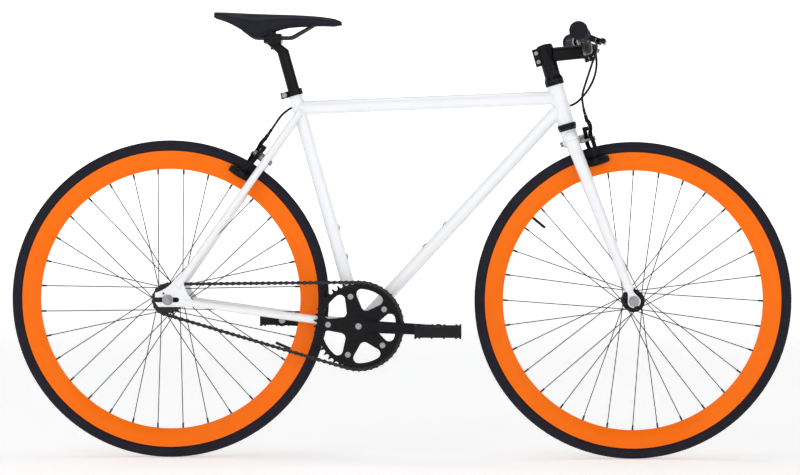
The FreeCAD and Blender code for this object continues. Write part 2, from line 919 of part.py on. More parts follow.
chain_lean, ring_wrap, cog_wrap, run_pitches = chain_layout(chainstay_length)
ring_centre = Vector(crank_at.x, crank_at.z, 0)
cog_centre = Vector(rear_axle_at.x, rear_axle_at.z, 0)
centre_line = ring_centre - cog_centre
centre_angle = math.degrees(math.atan2(centre_line.y, centre_line.x))
top_angle = centre_angle + QUARTER_TURN + math.degrees(chain_lean)
low_angle = centre_angle - QUARTER_TURN - math.degrees(chain_lean)


def link_plate(low):
    """A waisted side plate whose lower face lies at a given height."""
    end_radius = dim.chain_plate_radius
    joint = dim.chain_pitch / 2
    shoulder = Vector(joint + polar(end_radius, 120).x, polar(end_radius, 120).y, low)
    waist = Vector(0, end_radius * plate_waist_share, low)
    tip = Vector(joint + end_radius, 0, low)

    def flipped(point, across, up):
        return Vector(point.x * across, point.y * up, point.z)

    arcs = [
        (flipped(shoulder, 1, -1), tip, shoulder),
        (shoulder, waist, flipped(shoulder, -1, 1)),
        (flipped(shoulder, -1, 1), flipped(tip, -1, 1), flipped(shoulder, -1, -1)),
        (flipped(shoulder, -1, -1), flipped(waist, 1, -1), flipped(shoulder, 1, -1)),
    ]
    wire = Part.Wire([Part.Arc(*points).toShape() for points in arcs])
    return Part.Face(wire).extrude(Vector(0, 0, dim.chain_plate))


def chain_link(plate_face, core_radius, half_width, bore_radius):
    """Two plates joined by two cores: rollers on an inner link, pins on an outer one."""
    joints = [Vector(side * dim.chain_pitch / 2, 0, 0) for side in SIDES]
    reach = Vector(0, 0, half_width)
    plates = [link_plate(plate_face), link_plate(-plate_face - dim.chain_plate)]
    cores = [rod(joint - reach, joint + reach, core_radius) for joint in joints]
    link = plates[0].multiFuse(plates[1:] + cores)
    if bore_radius:
        through = reach * 2
        link = link.cut([rod(joint - through, joint + through, bore_radius) for joint in joints])
    return link


plate_waist_share = 0.62


def make_chain():
    """Inner and outer links in turn round the chainring and the cog."""
    inner_face = dim.chain_inner_width / 2
    outer_face = inner_face + dim.chain_plate + dim.chain_plate_gap
    pin_reach = outer_face + dim.chain_plate + dim.chain_pin_stub
    inner = chain_link(inner_face, dim.chain_roller_radius, inner_face,
                       dim.chain_pin_radius + dim.running_fit)
    outer = chain_link(outer_face, dim.chain_pin_radius, pin_reach, 0)
    links = []
    count = int(dim.chain_links)
    for number in range(count):
        first = chain_joint(number)
        last = chain_joint((number + 1) % count)
        link = (inner if number % 2 == 0 else outer).copy()
        heading = math.degrees(math.atan2(last.y - first.y, last.x - first.x))
        link.Placement = Placement((first + last) / 2, Rotation(Z_AXIS, heading))
        links.append(link)
    return made("Chain", Part.makeCompound(links), crosswise(Vector(0, -dim.chain_line, 0)))


def toothed_disc(teeth, first_gap):
    """A sprocket blank whose tooth gaps take the chain's rollers."""
    radius = pitch_radius(teeth)
    seat = dim.chain_roller_radius + dim.tooth_seat_gap
    step = FULL_TURN / teeth
    tip_radius = radius + dim.tooth_height
    tip_half = math.degrees(dim.chain_pitch * tooth_tip_share / tip_radius)
    edges = []
    gaps = [first_gap + index * step for index in range(int(teeth))]
    for angle in gaps:
        middle = polar(radius, angle)
        lead_in, bottom, lead_out = (middle + polar(seat, angle + HALF_TURN + swing) for swing in (60, 0,
                                                                                                   -60))
        rise = polar(tip_radius, angle + step / 2 - tip_half)
        fall = polar(tip_radius, angle + step / 2 + tip_half)
        after = polar(radius, angle + step) + polar(seat, angle + step + HALF_TURN + 60)
        edges.append(Part.Arc(lead_in, bottom, lead_out).toShape())
        for first, last in ((lead_out, rise), (rise, fall), (fall, after)):
            edges.append(Part.LineSegment(first, last).toShape())
    blank = Part.Face(Part.Wire(edges)).extrude(Vector(0, 0, dim.sprocket_thickness))
    blank.translate(Vector(0, 0, dim.chain_line - dim.sprocket_thickness / 2))
    return blank


tooth_tip_share = 0.095
spider_angles = [dim.crank_angle + HALF_TURN + index * FULL_TURN / dim.spider_arms
                 for index in range(int(dim.spider_arms))]
ring_back = dim.chain_line - dim.sprocket_thickness / 2
ring_front = dim.chain_line + dim.sprocket_thickness / 2
spider_front = ring_front + dim.spider_thickness


def radial_bar(angle, inner, outer, inner_width, outer_width, low, high):
    """A flat tapered bar along a radius."""
    along = polar(1, angle)
    across = polar(1, angle + QUARTER_TURN)
    corners = [along * inner - across * inner_width / 2, along * outer - across * outer_width / 2,
               along * outer + across * outer_width / 2, along * inner + across * inner_width / 2]
    wire = Part.makePolygon([corner + Vector(0, 0, low) for corner in corners + corners[:1]])
    return Part.Face(wire).extrude(Vector(0, 0, high - low))


def upright(radius, angle, low, high, size):
    """A round post along local Z at a place given by radius and angle."""
    return rod(polar(radius, angle, low), polar(radius, angle, high), size)


def spider_window(angle, low, high):
    """A rounded opening between one arm of the spider and the next."""
    half_step = HALF_TURN / dim.spider_arms
    middle = angle + half_step
    spread = half_step - math.degrees(math.asin(dim.window_web / dim.chainring_inner_radius))
    root = polar(dim.window_root, middle, low)
    sides = [root + (polar(dim.chainring_inner_radius, middle + spread * side,
                           low) - root) * 2 for side in SIDES]
    wedge = Part.Face(Part.makePolygon([root] + sides + [root])).extrude(Z_AXIS * (high - low))
    opening = wedge.common(upright(0, 0, low, high, dim.chainring_inner_radius))
    upright_edges = [edge for edge in opening.Edges
                     if abs(edge.Vertexes[0].Z - edge.Vertexes[-1].Z) > (high - low) / 2]
    return opening.makeFillet(dim.window_corner, upright_edges)


def spider_windows(low, high):
    return [spider_window(angle, low - dim.cut_overrun, high + dim.cut_overrun) for angle in spider_angles]


def spider_bolt_ways(low, high):
    return [upright(dim.bolt_circle_radius, angle, low - dim.cut_overrun, high + dim.cut_overrun,
                    dim.ring_bolt_radius + dim.running_fit) for angle in spider_angles]


def make_chainring():
    """The toothed ring, open between the bolts of the spider."""
    over = dim.cut_overrun
    disc = toothed_disc(dim.chainring_teeth, top_angle)
    middle = upright(0, 0, ring_back - over, ring_front + over, dim.bolt_circle_radius - dim.tab_radius)
    cuts = [middle] + spider_windows(ring_back, ring_front) + spider_bolt_ways(ring_back, ring_front)
    return made("Chainring", disc.cut(cuts).removeSplitter(), crosswise(crank_at))


def make_cog():
    """The fixed cog and its lockring on the hub's threaded collar."""
    start = ring_wrap + run_pitches
    first_gap = low_angle - (math.ceil(start) - start) * FULL_TURN / dim.cog_teeth
    bore = dim.hub_collar_radius + dim.running_fit
    over = dim.cut_overrun
    disc = toothed_disc(dim.cog_teeth, first_gap).cut(upright(0, 0, ring_back - over, ring_front + over,
                                                              bore))
    lock_top = ring_front + dim.lockring_width
    lockring = upright(0, 0, ring_front, lock_top, dim.lockring_radius)
    notches = [upright(dim.lockring_radius, index * FULL_TURN / 3, ring_front - over, lock_top + over,
                       dim.lockring_notch_radius) for index in range(3)]
    lockring = lockring.cut([upright(0, 0, ring_front - over, lock_top + over, bore)] + notches)
    return made("Cog", Part.makeCompound([disc, lockring]), crosswise(rear_axle_at))


def crank_solid(side):
    """Boss, tapered arm and pedal eye of one crank."""
    along = polar(1, dim.crank_angle + (0 if side > 0 else HALF_TURN))
    across = Vector(-along.y, along.x, 0)
    out = Z_AXIS * side
    root = out * (dim.crank_boss_outer - dim.crank_thickness / 2)
    eye = along * dim.crank_length + root + out * dim.crank_spread
    corner = dim.crank_corner
    arm = Part.makeLoft([rounded_section(root, across, out, dim.crank_width, dim.crank_thickness, corner),
                         rounded_section(eye, across, out, dim.crank_tip_width, dim.crank_thickness, corner)],
                        True, True)
    boss = rod(out * dim.crank_boss_inner, out * dim.crank_boss_outer, dim.crank_boss_radius)
    half = out * dim.crank_thickness / 2
    ends = [boss, rod(eye - half, eye + half, dim.crank_eye_radius)]
    over = out * dim.cut_overrun
    bolt_seat = out * dim.crank_bolt_seat
    bores = [rod(out * dim.crank_boss_inner - over, bolt_seat + over, dim.spindle_end_radius),
             rod(bolt_seat, out * dim.crank_boss_outer + over * 2, dim.crank_recess_radius),
             rod(eye - half - over, eye + half + over, dim.pedal_thread_radius)]
    return arm.multiFuse(ends), bores


def make_cranks():
    """Right crank with its spider, and left crank."""
    right, right_bores = crank_solid(1)
    spider = upright(0, 0, ring_front, spider_front, dim.bolt_circle_radius + dim.tab_radius)
    spider = spider.cut(spider_windows(ring_front, spider_front))
    right_bores += spider_bolt_ways(ring_front, spider_front)
    left, left_bores = crank_solid(-1)
    node("crank_right", made("CrankRight", right.fuse(spider).cut(right_bores), crosswise(crank_at)))
    node("crank_left", made("CrankLeft", left.cut(left_bores), crosswise(crank_at)))


def make_crank_bolts():
    """Five chainring bolts with their back nuts, and the two crank bolts."""
    bolts = []
    head_top = spider_front + dim.ring_bolt_head
    nut_low = ring_back - dim.ring_bolt_head
    for angle in spider_angles:
        place = dim.bolt_circle_radius
        shank = upright(place, angle, nut_low, head_top, dim.ring_bolt_radius)
        heads = [upright(place, angle, spider_front, head_top, dim.ring_bolt_head_radius),
                 upright(place, angle, nut_low, ring_back, dim.ring_bolt_head_radius)]
        socket = upright(place, angle, head_top - dim.ring_bolt_head, head_top + dim.cut_overrun,
                         dim.ring_bolt_socket_radius)
        bolts.append(shank.multiFuse(heads).cut(socket))
    for side in SIDES:
        seat = Z_AXIS * side * dim.crank_bolt_seat
        washer_top = seat + Z_AXIS * side * dim.ring_bolt_head
        washer = rod(seat, washer_top, dim.crank_recess_radius - dim.seat_gap)
        corners = [polar(dim.crank_bolt_radius, index * FULL_TURN / 6) + washer_top for index in range(7)]
        head = Part.Face(Part.makePolygon(corners)).extrude(Z_AXIS * side * dim.crank_bolt_height)
        bolts.append(washer.fuse(head))
    return made("CrankBolts", Part.makeCompound(bolts), crosswise(crank_at))


def make_bottom_bracket():
    """Shell, screwed cups with their bearings, and the spindle."""
    place = crosswise(crank_at)
    half = "shell_width / 2"
    shell = ring("BottomBracketShell", "shell_bore_radius", "shell_radius", f"-{half}", half, place)
    node("bottom_bracket_shell", shell)
    pieces = []
    for number, side in enumerate(("", "-")):
        flange = f"{side}({half} + cup_flange)"
        face = f"{side}({half})"
        deep = f"{side}({half} - cup_depth)"
        seat = f"{side}({half} - cup_depth + cup_flange)"
        bearing = "shell_bore_radius - cup_wall"
        opening = "spindle_radius + cup_wall"
        pieces.append(turned(f"Cup{number}", [
            (bearing, flange), ("shell_radius", flange), ("shell_radius", face), ("shell_bore_radius", face),
            ("shell_bore_radius", deep), (opening, deep), (opening, seat), (bearing, seat)]))
        pieces.append(ring(f"CupBearing{number}", "spindle_radius + running_fit", bearing, seat, face))
    cups = node("bottom_bracket_cups", group("BottomBracketCups", pieces))
    cups.Placement = place
    end = "crank_bolt_seat"
    shoulder = "crank_boss_inner - seat_gap"
    spindle = turned("Spindle", [
        ("0", f"-{end}"), ("spindle_end_radius", f"-{end}"), ("spindle_end_radius", f"-({shoulder})"),
        ("spindle_radius", f"-({shoulder})"), ("spindle_radius", shoulder), ("spindle_end_radius", shoulder),
        ("spindle_end_radius", end), ("0", end)], placement=place)
    node("crank_spindle", spindle)


def pedal_place(side):
    """The pedal axle's place at the crank's outer face, with local Z pointing outward."""
    along = polar(dim.crank_length, dim.crank_angle + (0 if side > 0 else HALF_TURN))
    outside = dim.crank_boss_outer + dim.crank_spread
    centre = crank_at + Vector(along.x, -side * outside, along.y)
    return Placement(centre, Rotation(X_AXIS, QUARTER_TURN * side))


def make_pedal_axles():
    axles = []
    for number, side in enumerate(SIDES):
        tip = "pedal_gap + pedal_width - pedal_cap"
        axles.append(turned(f"PedalAxle{number}", [
            ("0", "-crank_thickness"), ("pedal_thread_radius", "-crank_thickness"),
            ("pedal_thread_radius", "0"),
            ("pedal_collar_radius", "0"), ("pedal_collar_radius", "pedal_gap - seat_gap"),
            ("pedal_axle_radius", "pedal_gap - seat_gap"), ("pedal_axle_radius", tip), ("0", tip)],
            placement=pedal_place(side)))
    return group("PedalAxles", axles)


def make_pedal(name, side):
    """A platform pedal: barrel, end bridges and two toothed cage plates."""
    low = dim.pedal_gap
    high = low + dim.pedal_width
    cage = dim.pedal_length / 2 - dim.pedal_cage / 2
    barrel = rod(Z_AXIS * low, Z_AXIS * high, dim.pedal_barrel_radius)
    pieces = []
    bridges = ((low + dim.pedal_bridge / 2, dim.pedal_end_height),
               ((low + high) / 2, dim.pedal_barrel_radius),
               (high - dim.pedal_bridge / 2, dim.pedal_end_height))
    for place, height in bridges:
        pieces.append(centred_box(Vector(0, 0, place), dim.pedal_length - dim.pedal_cage, height,
                                  dim.pedal_bridge))
    notches = []
    notch_count = int(dim.pedal_notches)
    notch_step = dim.pedal_width / (notch_count + 0.5)
    for end in SIDES:
        pieces.append(centred_box(Vector(end * cage, 0, (low + high) / 2), dim.pedal_cage, dim.pedal_height,
                                  dim.pedal_width))
        for index in range(notch_count):
            place = low + (index + 0.75) * notch_step
            for face in SIDES:
                centre = Vector(end * cage, face * dim.pedal_height / 2, place)
                notches.append(centred_box(centre, dim.pedal_cage * 2, dim.pedal_notch_depth * 2,
                                           notch_step / 2))
    bore = rod(Z_AXIS * (low - dim.cut_overrun), Z_AXIS * (high - dim.pedal_cap + dim.seat_gap),
               dim.pedal_axle_radius + dim.running_fit)
    return made(name, barrel.multiFuse(pieces).cut(notches + [bore]).removeSplitter(), pedal_place(side))


def centred_box(centre, length, width, height):
    """A plain box about a centre, along the local axes."""
    corner = centre - Vector(length, width, height) / 2
    return Part.makeBox(length, width, height, corner)


node("chain", make_chain())
node("cog", make_cog())
node("chainring", make_chainring())
make_cranks()
node("crank_bolts", make_crank_bolts())
make_bottom_bracket()
node("pedal_axles", make_pedal_axles())
node("pedal_right", make_pedal("PedalRight", 1))
node("pedal_left", make_pedal("PedalLeft", -1))

# Frame

def bar(name, radius, start, end, end_radius=None):
    """A straight or tapered round bar between two points, its radii tied to the sheet."""
    place = turned_to(end - start, start)
    if end_radius:
        item = bind(doc.addObject("Part::Cone", name), Radius1=radius, Radius2=end_radius)
    else:
        item = bind(doc.addObject("Part::Cylinder", name), Radius=radius)
    item.Height = (end - start).Length
    item.Placement = place
    return item


def hollow(name, radius, start, end, cutters, bore=None):
    """A tube mitred to the pieces that it meets."""
    outer = bar(name + "Outer", radius, start, end)
    inner = bar(name + "Bore", bore or f"{radius} - tube_wall", start, end)
    return cut(name, cut(name + "Wall", outer, inner), fuse(name + "Mitres", cutters))


head_low = on_head(dim.head_tube_low)
head_high = on_head(dim.head_tube_low + dim.head_tube_length)
seat_high = on_seat(dim.seat_tube_length)
top_tube_rear = on_seat(dim.top_tube_seat_height)
top_tube_front = on_head(dim.top_tube_head_height)
down_tube_front = on_head(dim.down_tube_head_height)
shell_half = Y_AXIS * (dim.shell_width / 2)
down_tube_along = (down_tube_front - crank_at).normalize()
down_tube_up = Vector(-down_tube_along.z, 0, down_tube_along.x)
seat_forward = Vector(seat_up.z, 0, -seat_up.x)


def boss_places():
    """Foot on the tube's axis and outward direction of each bottle boss."""
    places = []
    for axis, outward, first in ((down_tube_along, down_tube_up, dim.down_tube_boss_place),
                                 (seat_up, seat_forward, dim.seat_tube_boss_place)):
        for number in range(2):
            places.append((crank_at + axis * (first + number * dim.boss_spacing), outward))
    return places


def make_bottle_bosses():
    """Open threaded inserts, two on the down tube and two on the seat tube."""
    bosses = []
    for number, (foot, outward) in enumerate(boss_places()):
        radius = "down_tube_radius" if number < 2 else "seat_tube_radius"
        low = f"{radius} - boss_depth"
        surface = f"{radius} + boss_lift"
        high = f"{radius} + boss_lift + boss_flange"
        bosses.append(turned(f"Boss{number}", [
            ("boss_bore_radius", low), ("boss_radius", low), ("boss_radius", surface),
            ("boss_flange_radius", surface), ("boss_flange_radius", high), ("boss_bore_radius", high)],
            placement=turned_to(outward, foot)))
    return group("BottleBosses", bosses)


def boss_holes(name, places, radius):
    """Drillings that take the threaded inserts."""
    holes = []
    for number, (foot, outward) in enumerate(places):
        holes.append(cylinder(f"{name}{number}", "boss_radius + running_fit", f"{radius} + boss_flange",
                              turned_to(outward, foot)))
    return holes


def make_main_tubes():
    """Head, top, down and seat tubes."""
    places = boss_places()
    head_core = bar("HeadCore", "head_tube_radius", head_low, head_high)
    shell_core = bar("ShellCore", "shell_radius", crank_at - shell_half, crank_at + shell_half)
    seat_core = bar("SeatCore", "seat_tube_radius", crank_at - seat_up * dim.shell_radius, seat_high)
    top_core = bar("TopCore", "top_tube_radius", top_tube_rear, top_tube_front)
    head_bore = bar("HeadBore", "head_tube_bore_radius", head_low, head_high)
    node("head_tube", cut("HeadTube", head_core, head_bore))
    node("top_tube", hollow("TopTube", "top_tube_radius", top_tube_rear, top_tube_front,
                            [head_core, seat_core]))
    node("down_tube", hollow("DownTube", "down_tube_radius", crank_at, down_tube_front,
                             [head_core, shell_core, seat_core, top_core]
                             + boss_holes("DownHole", places[:2], "down_tube_radius")))
    node("seat_tube", hollow("SeatTube", "seat_tube_radius", crank_at, seat_high,
                             [shell_core] + boss_holes("SeatHole", places[2:], "seat_tube_radius"),
                             "seatpost_radius + seatpost_fit"))
    return shell_core, seat_core


def dropout_outline():
    """A rear-facing track end: a curved three-cornered plate with an open slot."""
    slot = "rear_axle_radius + dropout_slot_gap"
    return [
        ("-dropout_rear", slot), ("-dropout_rear", "dropout_lip", "dropout_sweep", 1),
        ("dropout_stay_back", "dropout_top"), ("dropout_stay_front", "dropout_shoulder", "dropout_hollow", 1),
        ("dropout_front", "dropout_nose"), ("dropout_toe", "-dropout_lip"),
        ("-dropout_rear + dropout_lip / 2", "-dropout_lip"), ("-dropout_rear", f"-({slot})"),
        ("dropout_slot_end", f"-({slot})", f"{slot} + dropout_slot_gap", 1), ("dropout_slot_end", slot),
    ]


def make_dropouts():
    """The two track ends, with the small eyelet above each slot."""
    plates = []
    for number, side in enumerate(SIDES):
        inner = dim.rear_hub_spacing / 2 + (0 if side > 0 else dim.dropout_thickness)
        blank = plate(f"Dropout{number}", "dropout_thickness", dropout_outline())
        blank.Placement = crosswise(rear_axle_at).multiply(Placement(Vector(0, 0, side * inner), Rotation()))
        eyelet_at = Vector(dim.dropout_eyelet_place, dim.dropout_eyelet_height,
                           side * inner - dim.cut_overrun)
        eyelet = cylinder(f"Eyelet{number}", "dropout_eyelet_radius", "dropout_thickness + 2 * cut_overrun",
                          crosswise(rear_axle_at).multiply(Placement(eyelet_at, Rotation())))
        plates.append(cut(f"TrackEnd{number}", blank, eyelet))
    return plates


def stay_end(reach, side, towards):
    """A stay's end, in the plane of one track end, at a distance from the rear axle."""
    middle = Y_AXIS * side * (dim.rear_hub_spacing + dim.dropout_thickness) / 2
    heading = Vector(towards.x, 0, towards.z) - rear_axle_at
    return rear_axle_at + heading.normalize() * reach + middle


def cross_tube(name, radius, centre, half_width):
    return bar(name, radius, centre - Y_AXIS * half_width, centre + Y_AXIS * half_width)


stay_top = on_seat(dim.seatstay_height)
seatstay_along = (stay_top - rear_axle_at).normalize()
seatstay_back = Vector(-seatstay_along.z, 0, seatstay_along.x)
brake_bridge_at = rear_axle_at + seatstay_along * dim.brake_bridge_place


def make_rear_triangle(shell_core, seat_core):
    """Chainstays and seatstays with their bridges, slotted over the track ends."""
    track_ends = make_dropouts()
    lower = []
    upper = []
    for number, side in enumerate(SIDES):
        root = crank_at + Y_AXIS * side * dim.chainstay_root
        low_end = stay_end(dim.chainstay_reach, side, crank_at)
        lower.append(bar(f"Chainstay{number}", "chainstay_radius", root, low_end, "stay_tip_radius"))
        crown = stay_top + Y_AXIS * side * dim.seatstay_root
        upper.append(bar(f"Seatstay{number}", "seatstay_radius",
                         stay_end(dim.seatstay_reach, side, stay_top), crown))
    low_bridge_at = crank_at + (rear_axle_at - crank_at).normalize() * dim.low_bridge_place
    low_bridge = cut("LowBridge", cross_tube("LowBridgeBar", "low_bridge_radius", low_bridge_at,
                                             dim.chainstay_root
                                             + dim.chainstay_radius), fuse("LowerStays", lower))
    bridge_bar = cross_tube("BrakeBridgeBar", "brake_bridge_radius", brake_bridge_at, dim.brake_bridge_half)
    bolt_reach = seatstay_back * (dim.brake_bridge_radius + dim.cut_overrun)
    bolt_hole = bar("BridgeHole", "brake_bolt_radius + running_fit", brake_bridge_at - bolt_reach,
                    brake_bridge_at + bolt_reach)
    brake_bridge = cut("BrakeBridge", bridge_bar, fuse("UpperStays", upper + [bolt_hole]))
    lower_tools = fuse("LowerTools", [shell_core, seat_core] + track_ends)
    upper_tools = fuse("UpperTools", [seat_core] + track_ends)
    node("dropouts", group("Dropouts", track_ends))
    node("chainstays", group("Chainstays", [cut(f"ChainstayCut{number}", stay, lower_tools)
                                            for number, stay in enumerate(lower)] + [low_bridge]))
    node("seatstays", group("Seatstays", [cut(f"SeatstayCut{number}", stay, upper_tools)
                                          for number, stay in enumerate(upper)] + [brake_bridge]))


def make_headset_cups():
    """A pressed cup and its bearing at each end of the head tube."""
    pieces = []
    for number, (end, outward) in enumerate(((head_low, head_up * -1), (head_high, head_up))):
        place = turned_to(outward, end)
        bearing = "cup_radius - cup_wall"
        sleeve = "head_tube_bore_radius - cup_wall / 2"
        pieces.append(turned(f"HeadCup{number}", [
            (sleeve, "-head_cup_depth"), ("head_tube_bore_radius", "-head_cup_depth"),
            ("head_tube_bore_radius", "0"),
            ("cup_radius", "0"), ("cup_radius", "cup_height"), (bearing, "cup_height"), (bearing, "cup_wall"),
            (sleeve, "cup_wall")], placement=place))
        pieces.append(ring(f"HeadBearing{number}", "steerer_radius + running_fit", bearing, "cup_wall",
                           "cup_height - seat_gap", place))
    return group("HeadsetCups", pieces)


def make_seat_collar():
    """A split collar round the top of the seat tube, with its lugs behind."""
    low = on_seat(dim.seat_tube_length - dim.collar_height + dim.collar_lip)
    high = on_seat(dim.seat_tube_length + dim.collar_lip)
    place = turned_to(seat_up, low)
    facing = Placement(low, Rotation(seat_forward, Y_AXIS, seat_up, "XYZ"))
    band = bar("CollarBand", "collar_radius", low, high)
    lug_at = facing.multiply(Placement(Vector(-dim.collar_bolt_place, 0, dim.collar_height / 2), Rotation()))
    lug = block("CollarLug", "2 * (collar_bolt_place - seat_tube_radius)", "collar_lug_width",
                "collar_height", lug_at)
    bore = cylinder("CollarBore", "seat_tube_radius + running_fit", "collar_height + 2 * cut_overrun",
                    place.multiply(Placement(Vector(0, 0, -dim.cut_overrun), Rotation())))
    slit_at = facing.multiply(Placement(Vector(-dim.collar_bolt_place, 0, dim.collar_height / 2), Rotation()))
    slit = block("CollarSlit", "2 * collar_bolt_place", "collar_slit", "collar_height + 2 * cut_overrun",
                 slit_at)
    bolt_centre = lug_at.Base
    across = Y_AXIS * (dim.collar_lug_width / 2)
    over = Y_AXIS * dim.cut_overrun
    bolt_hole = bar("CollarBoltHole", "collar_bolt_radius + running_fit", bolt_centre - across - over,
                    bolt_centre + across + over)
    node("seat_collar", cut("SeatCollar", fuse("CollarSolid", [band, lug]),
                            fuse("CollarCuts", [bore, slit, bolt_hole])))
    head = Y_AXIS * dim.collar_bolt_head
    shank = bar("CollarShank", "collar_bolt_radius", bolt_centre - across - head, bolt_centre + across + head)
    heads = [bar(f"CollarHead{number}", "collar_bolt_head_radius", bolt_centre + across * side,
                 bolt_centre + across * side + head * side) for number, side in enumerate(SIDES)]
    socket = bar("CollarSocket", "collar_bolt_radius - cup_wall / 2", bolt_centre - across - head * 2,
                 bolt_centre - across - head / 2)
    return cut("CollarBolt", fuse("CollarBoltSolid", [shank] + heads), socket)


shell_core, seat_core = make_main_tubes()
make_rear_triangle(shell_core, seat_core)
node("headset_cups", make_headset_cups())
node("bottle_bosses", make_bottle_bosses())
collar_bolt = make_seat_collar()

# Steering: fork, headset stack, stem, handlebar, grips and brake levers

crown_top = dim.head_tube_low - dim.cup_height - dim.race_height - dim.seat_gap
crown_place = crown_top - dim.crown_rise
brake_bolt_place = crown_place - dim.crown_bolt_drop
cover_low = dim.head_tube_low + dim.head_tube_length + dim.cup_height + dim.seat_gap
spacer_low = cover_low + dim.cover_height
stem_low = spacer_low + dim.spacer_count * dim.spacer_height
stem_high = stem_low + dim.stem_clamp_height
stem_middle = (stem_low + stem_high) / 2
bar_place = stem_middle - dim.stem_drop


def head_frame(height, forward=0.0):
    """A placement with local X ahead of the steering axis, local Y left and local Z up along it."""
    return Placement(on_head(height, forward), Rotation(head_forward, Y_AXIS, head_up, "XYZ"))


def fork_end_outline():
    """A rounded plate with an axle slot that opens away from the blade."""
    slot = "front_axle_radius + dropout_slot_gap"
    slot_top = f"({slot}) / 2"
    foot = f"-sqrt(fork_end_radius ^ 2 - ({slot}) ^ 2)"
    return [
        (slot, foot, "fork_end_radius", 1), ("fork_end_radius", "0"), ("fork_end_neck", "fork_end_waist"),
        ("fork_end_neck", "fork_end_top"), ("-fork_end_neck", "fork_end_top"),
        ("-fork_end_neck", "fork_end_waist"),
        ("-fork_end_radius", "0", "fork_end_radius", 1), (f"-({slot})", foot),
        (f"-({slot})", slot_top, f"{slot} + dropout_slot_gap", -1), (slot, slot_top),
    ]


def make_fork():
    """Crown, tapered blades with their ends, and the steerer."""
    crown_middle = on_head(crown_place)
    shoulders = [on_head(crown_place, 0, side * dim.blade_spread) for side in SIDES]
    cross = bar("CrownCross", "crown_radius", *shoulders)
    ends = [ball(f"CrownEnd{number}", "crown_end_radius", place) for number, place in enumerate(shoulders)]
    riser = bar("CrownRiser", "crown_riser_radius", crown_middle, on_head(crown_top))
    brake_boss = bar("CrownBrakeBoss", "crown_boss_radius", on_head(brake_bolt_place, -dim.crown_boss_reach),
                     on_head(brake_bolt_place, dim.crown_boss_reach))
    crown_solid = fuse("CrownSolid", [cross, riser, brake_boss] + ends)
    steerer_top = stem_high - dim.steerer_drop
    steerer_core = bar("SteererCore", "steerer_radius", crown_middle, on_head(steerer_top))
    bolt_hole = bar("CrownBoltHole", "brake_bolt_radius + running_fit",
                    on_head(brake_bolt_place, -dim.crown_boss_reach - dim.cut_overrun),
                    on_head(brake_bolt_place, dim.crown_boss_reach + dim.cut_overrun))
    node("fork_crown", cut("ForkCrown", crown_solid, fuse("CrownCuts", [steerer_core, bolt_hole])))
    steerer_bore = bar("SteererBore", "steerer_radius - steerer_wall", crown_middle, on_head(steerer_top))
    node("steerer_tube", cut("SteererTube", steerer_core, steerer_bore))
    blade_line = crown_middle - front_axle_at
    tilt = math.degrees(math.atan2(blade_line.z, blade_line.x)) - QUARTER_TURN
    pieces = []
    for number, (side, shoulder) in enumerate(zip((1, -1), shoulders)):
        inner = dim.front_hub_spacing / 2 + (dim.dropout_thickness if side > 0 else 0)
        end_plate = plate(f"ForkEnd{number}", "dropout_thickness", fork_end_outline())
        end_plate.Placement = crosswise(front_axle_at + Y_AXIS * side * inner).multiply(
            Placement(Vector(), Rotation(Z_AXIS, tilt)))
        tip = front_axle_at + blade_line.normalize() * dim.blade_reach
        tip = tip + Y_AXIS * side * (dim.front_hub_spacing + dim.dropout_thickness) / 2
        blade = bar(f"Blade{number}", "crown_radius", shoulder, tip, "blade_tip_radius")
        along = (tip - shoulder).normalize()
        boss_foot = shoulder + along * dim.blade_boss_place
        boss = bar(f"BladeBoss{number}", "blade_boss_radius", boss_foot,
                   boss_foot + Y_AXIS * side * (dim.crown_radius + dim.blade_boss_lift))
        tools = fuse(f"BladeCuts{number}", [crown_solid, end_plate])
        pieces += [cut(f"ForkBlade{number}", fuse(f"BladeSolid{number}", [blade, boss]), tools), end_plate]
    node("fork_blades", group("ForkBlades", pieces))


def make_headset_rings():
    """Crown race, bearing cover and spacers on the steerer."""
    bore = "steerer_radius + running_fit"
    pieces = [
        ring("CrownRace", bore, "cup_radius - cup_wall / 2", "0", "race_height",
             turned_to(head_up, on_head(crown_top))),
        turned("BearingCover", [(bore, "0"), ("cup_radius", "0"), ("cup_radius", "cup_wall"),
                                ("spacer_radius", "cover_height"), (bore, "cover_height")],
               placement=turned_to(head_up, on_head(cover_low))),
    ]
    for number in range(int(dim.spacer_count)):
        low = on_head(spacer_low + number * dim.spacer_height)
        pieces.append(ring(f"Spacer{number}", bore, "spacer_radius", "0", "spacer_height",
                           turned_to(head_up, low)))
    return pieces


def make_top_cap():
    """Cap, its long bolt and the star nut that the bolt pulls on."""
    bore = "steerer_radius - steerer_wall"
    cap = turned("CapDisc", [
        ("0", "0"), ("spacer_radius", "0"), ("spacer_radius", "cap_height / 2"),
        ("spacer_radius - cap_height", "cap_height"),
        ("cap_bolt_head_radius", "cap_height"), ("cap_bolt_head_radius", "cap_height / 2"),
        ("0", "cap_height / 2")])
    bolt_head = turned("CapBolt", [
        ("0", "cap_height / 2"), ("cap_bolt_head_radius - seat_gap", "cap_height / 2"),
        ("cap_bolt_head_radius - seat_gap", "cap_height + cup_wall / 2"),
        ("cap_socket_radius", "cap_height + cup_wall / 2"),
        ("cap_socket_radius", "cap_height * 3 / 4"), ("0", "cap_height * 3 / 4")])
    nut = ring("StarNut", "cap_socket_radius", bore, "-star_nut_depth", "-star_nut_depth + cap_height")
    shank = ring("CapShank", "0", "cap_socket_radius", "-star_nut_depth - cap_height", "0")
    item = group("TopCap", [cap, bolt_head, nut, shank])
    item.Placement = turned_to(head_up, on_head(stem_high))
    return item


def make_headset_stack():
    """Everything that is threaded on the steerer, apart from the stem."""
    return group("HeadsetStack", make_headset_rings() + [make_top_cap()])


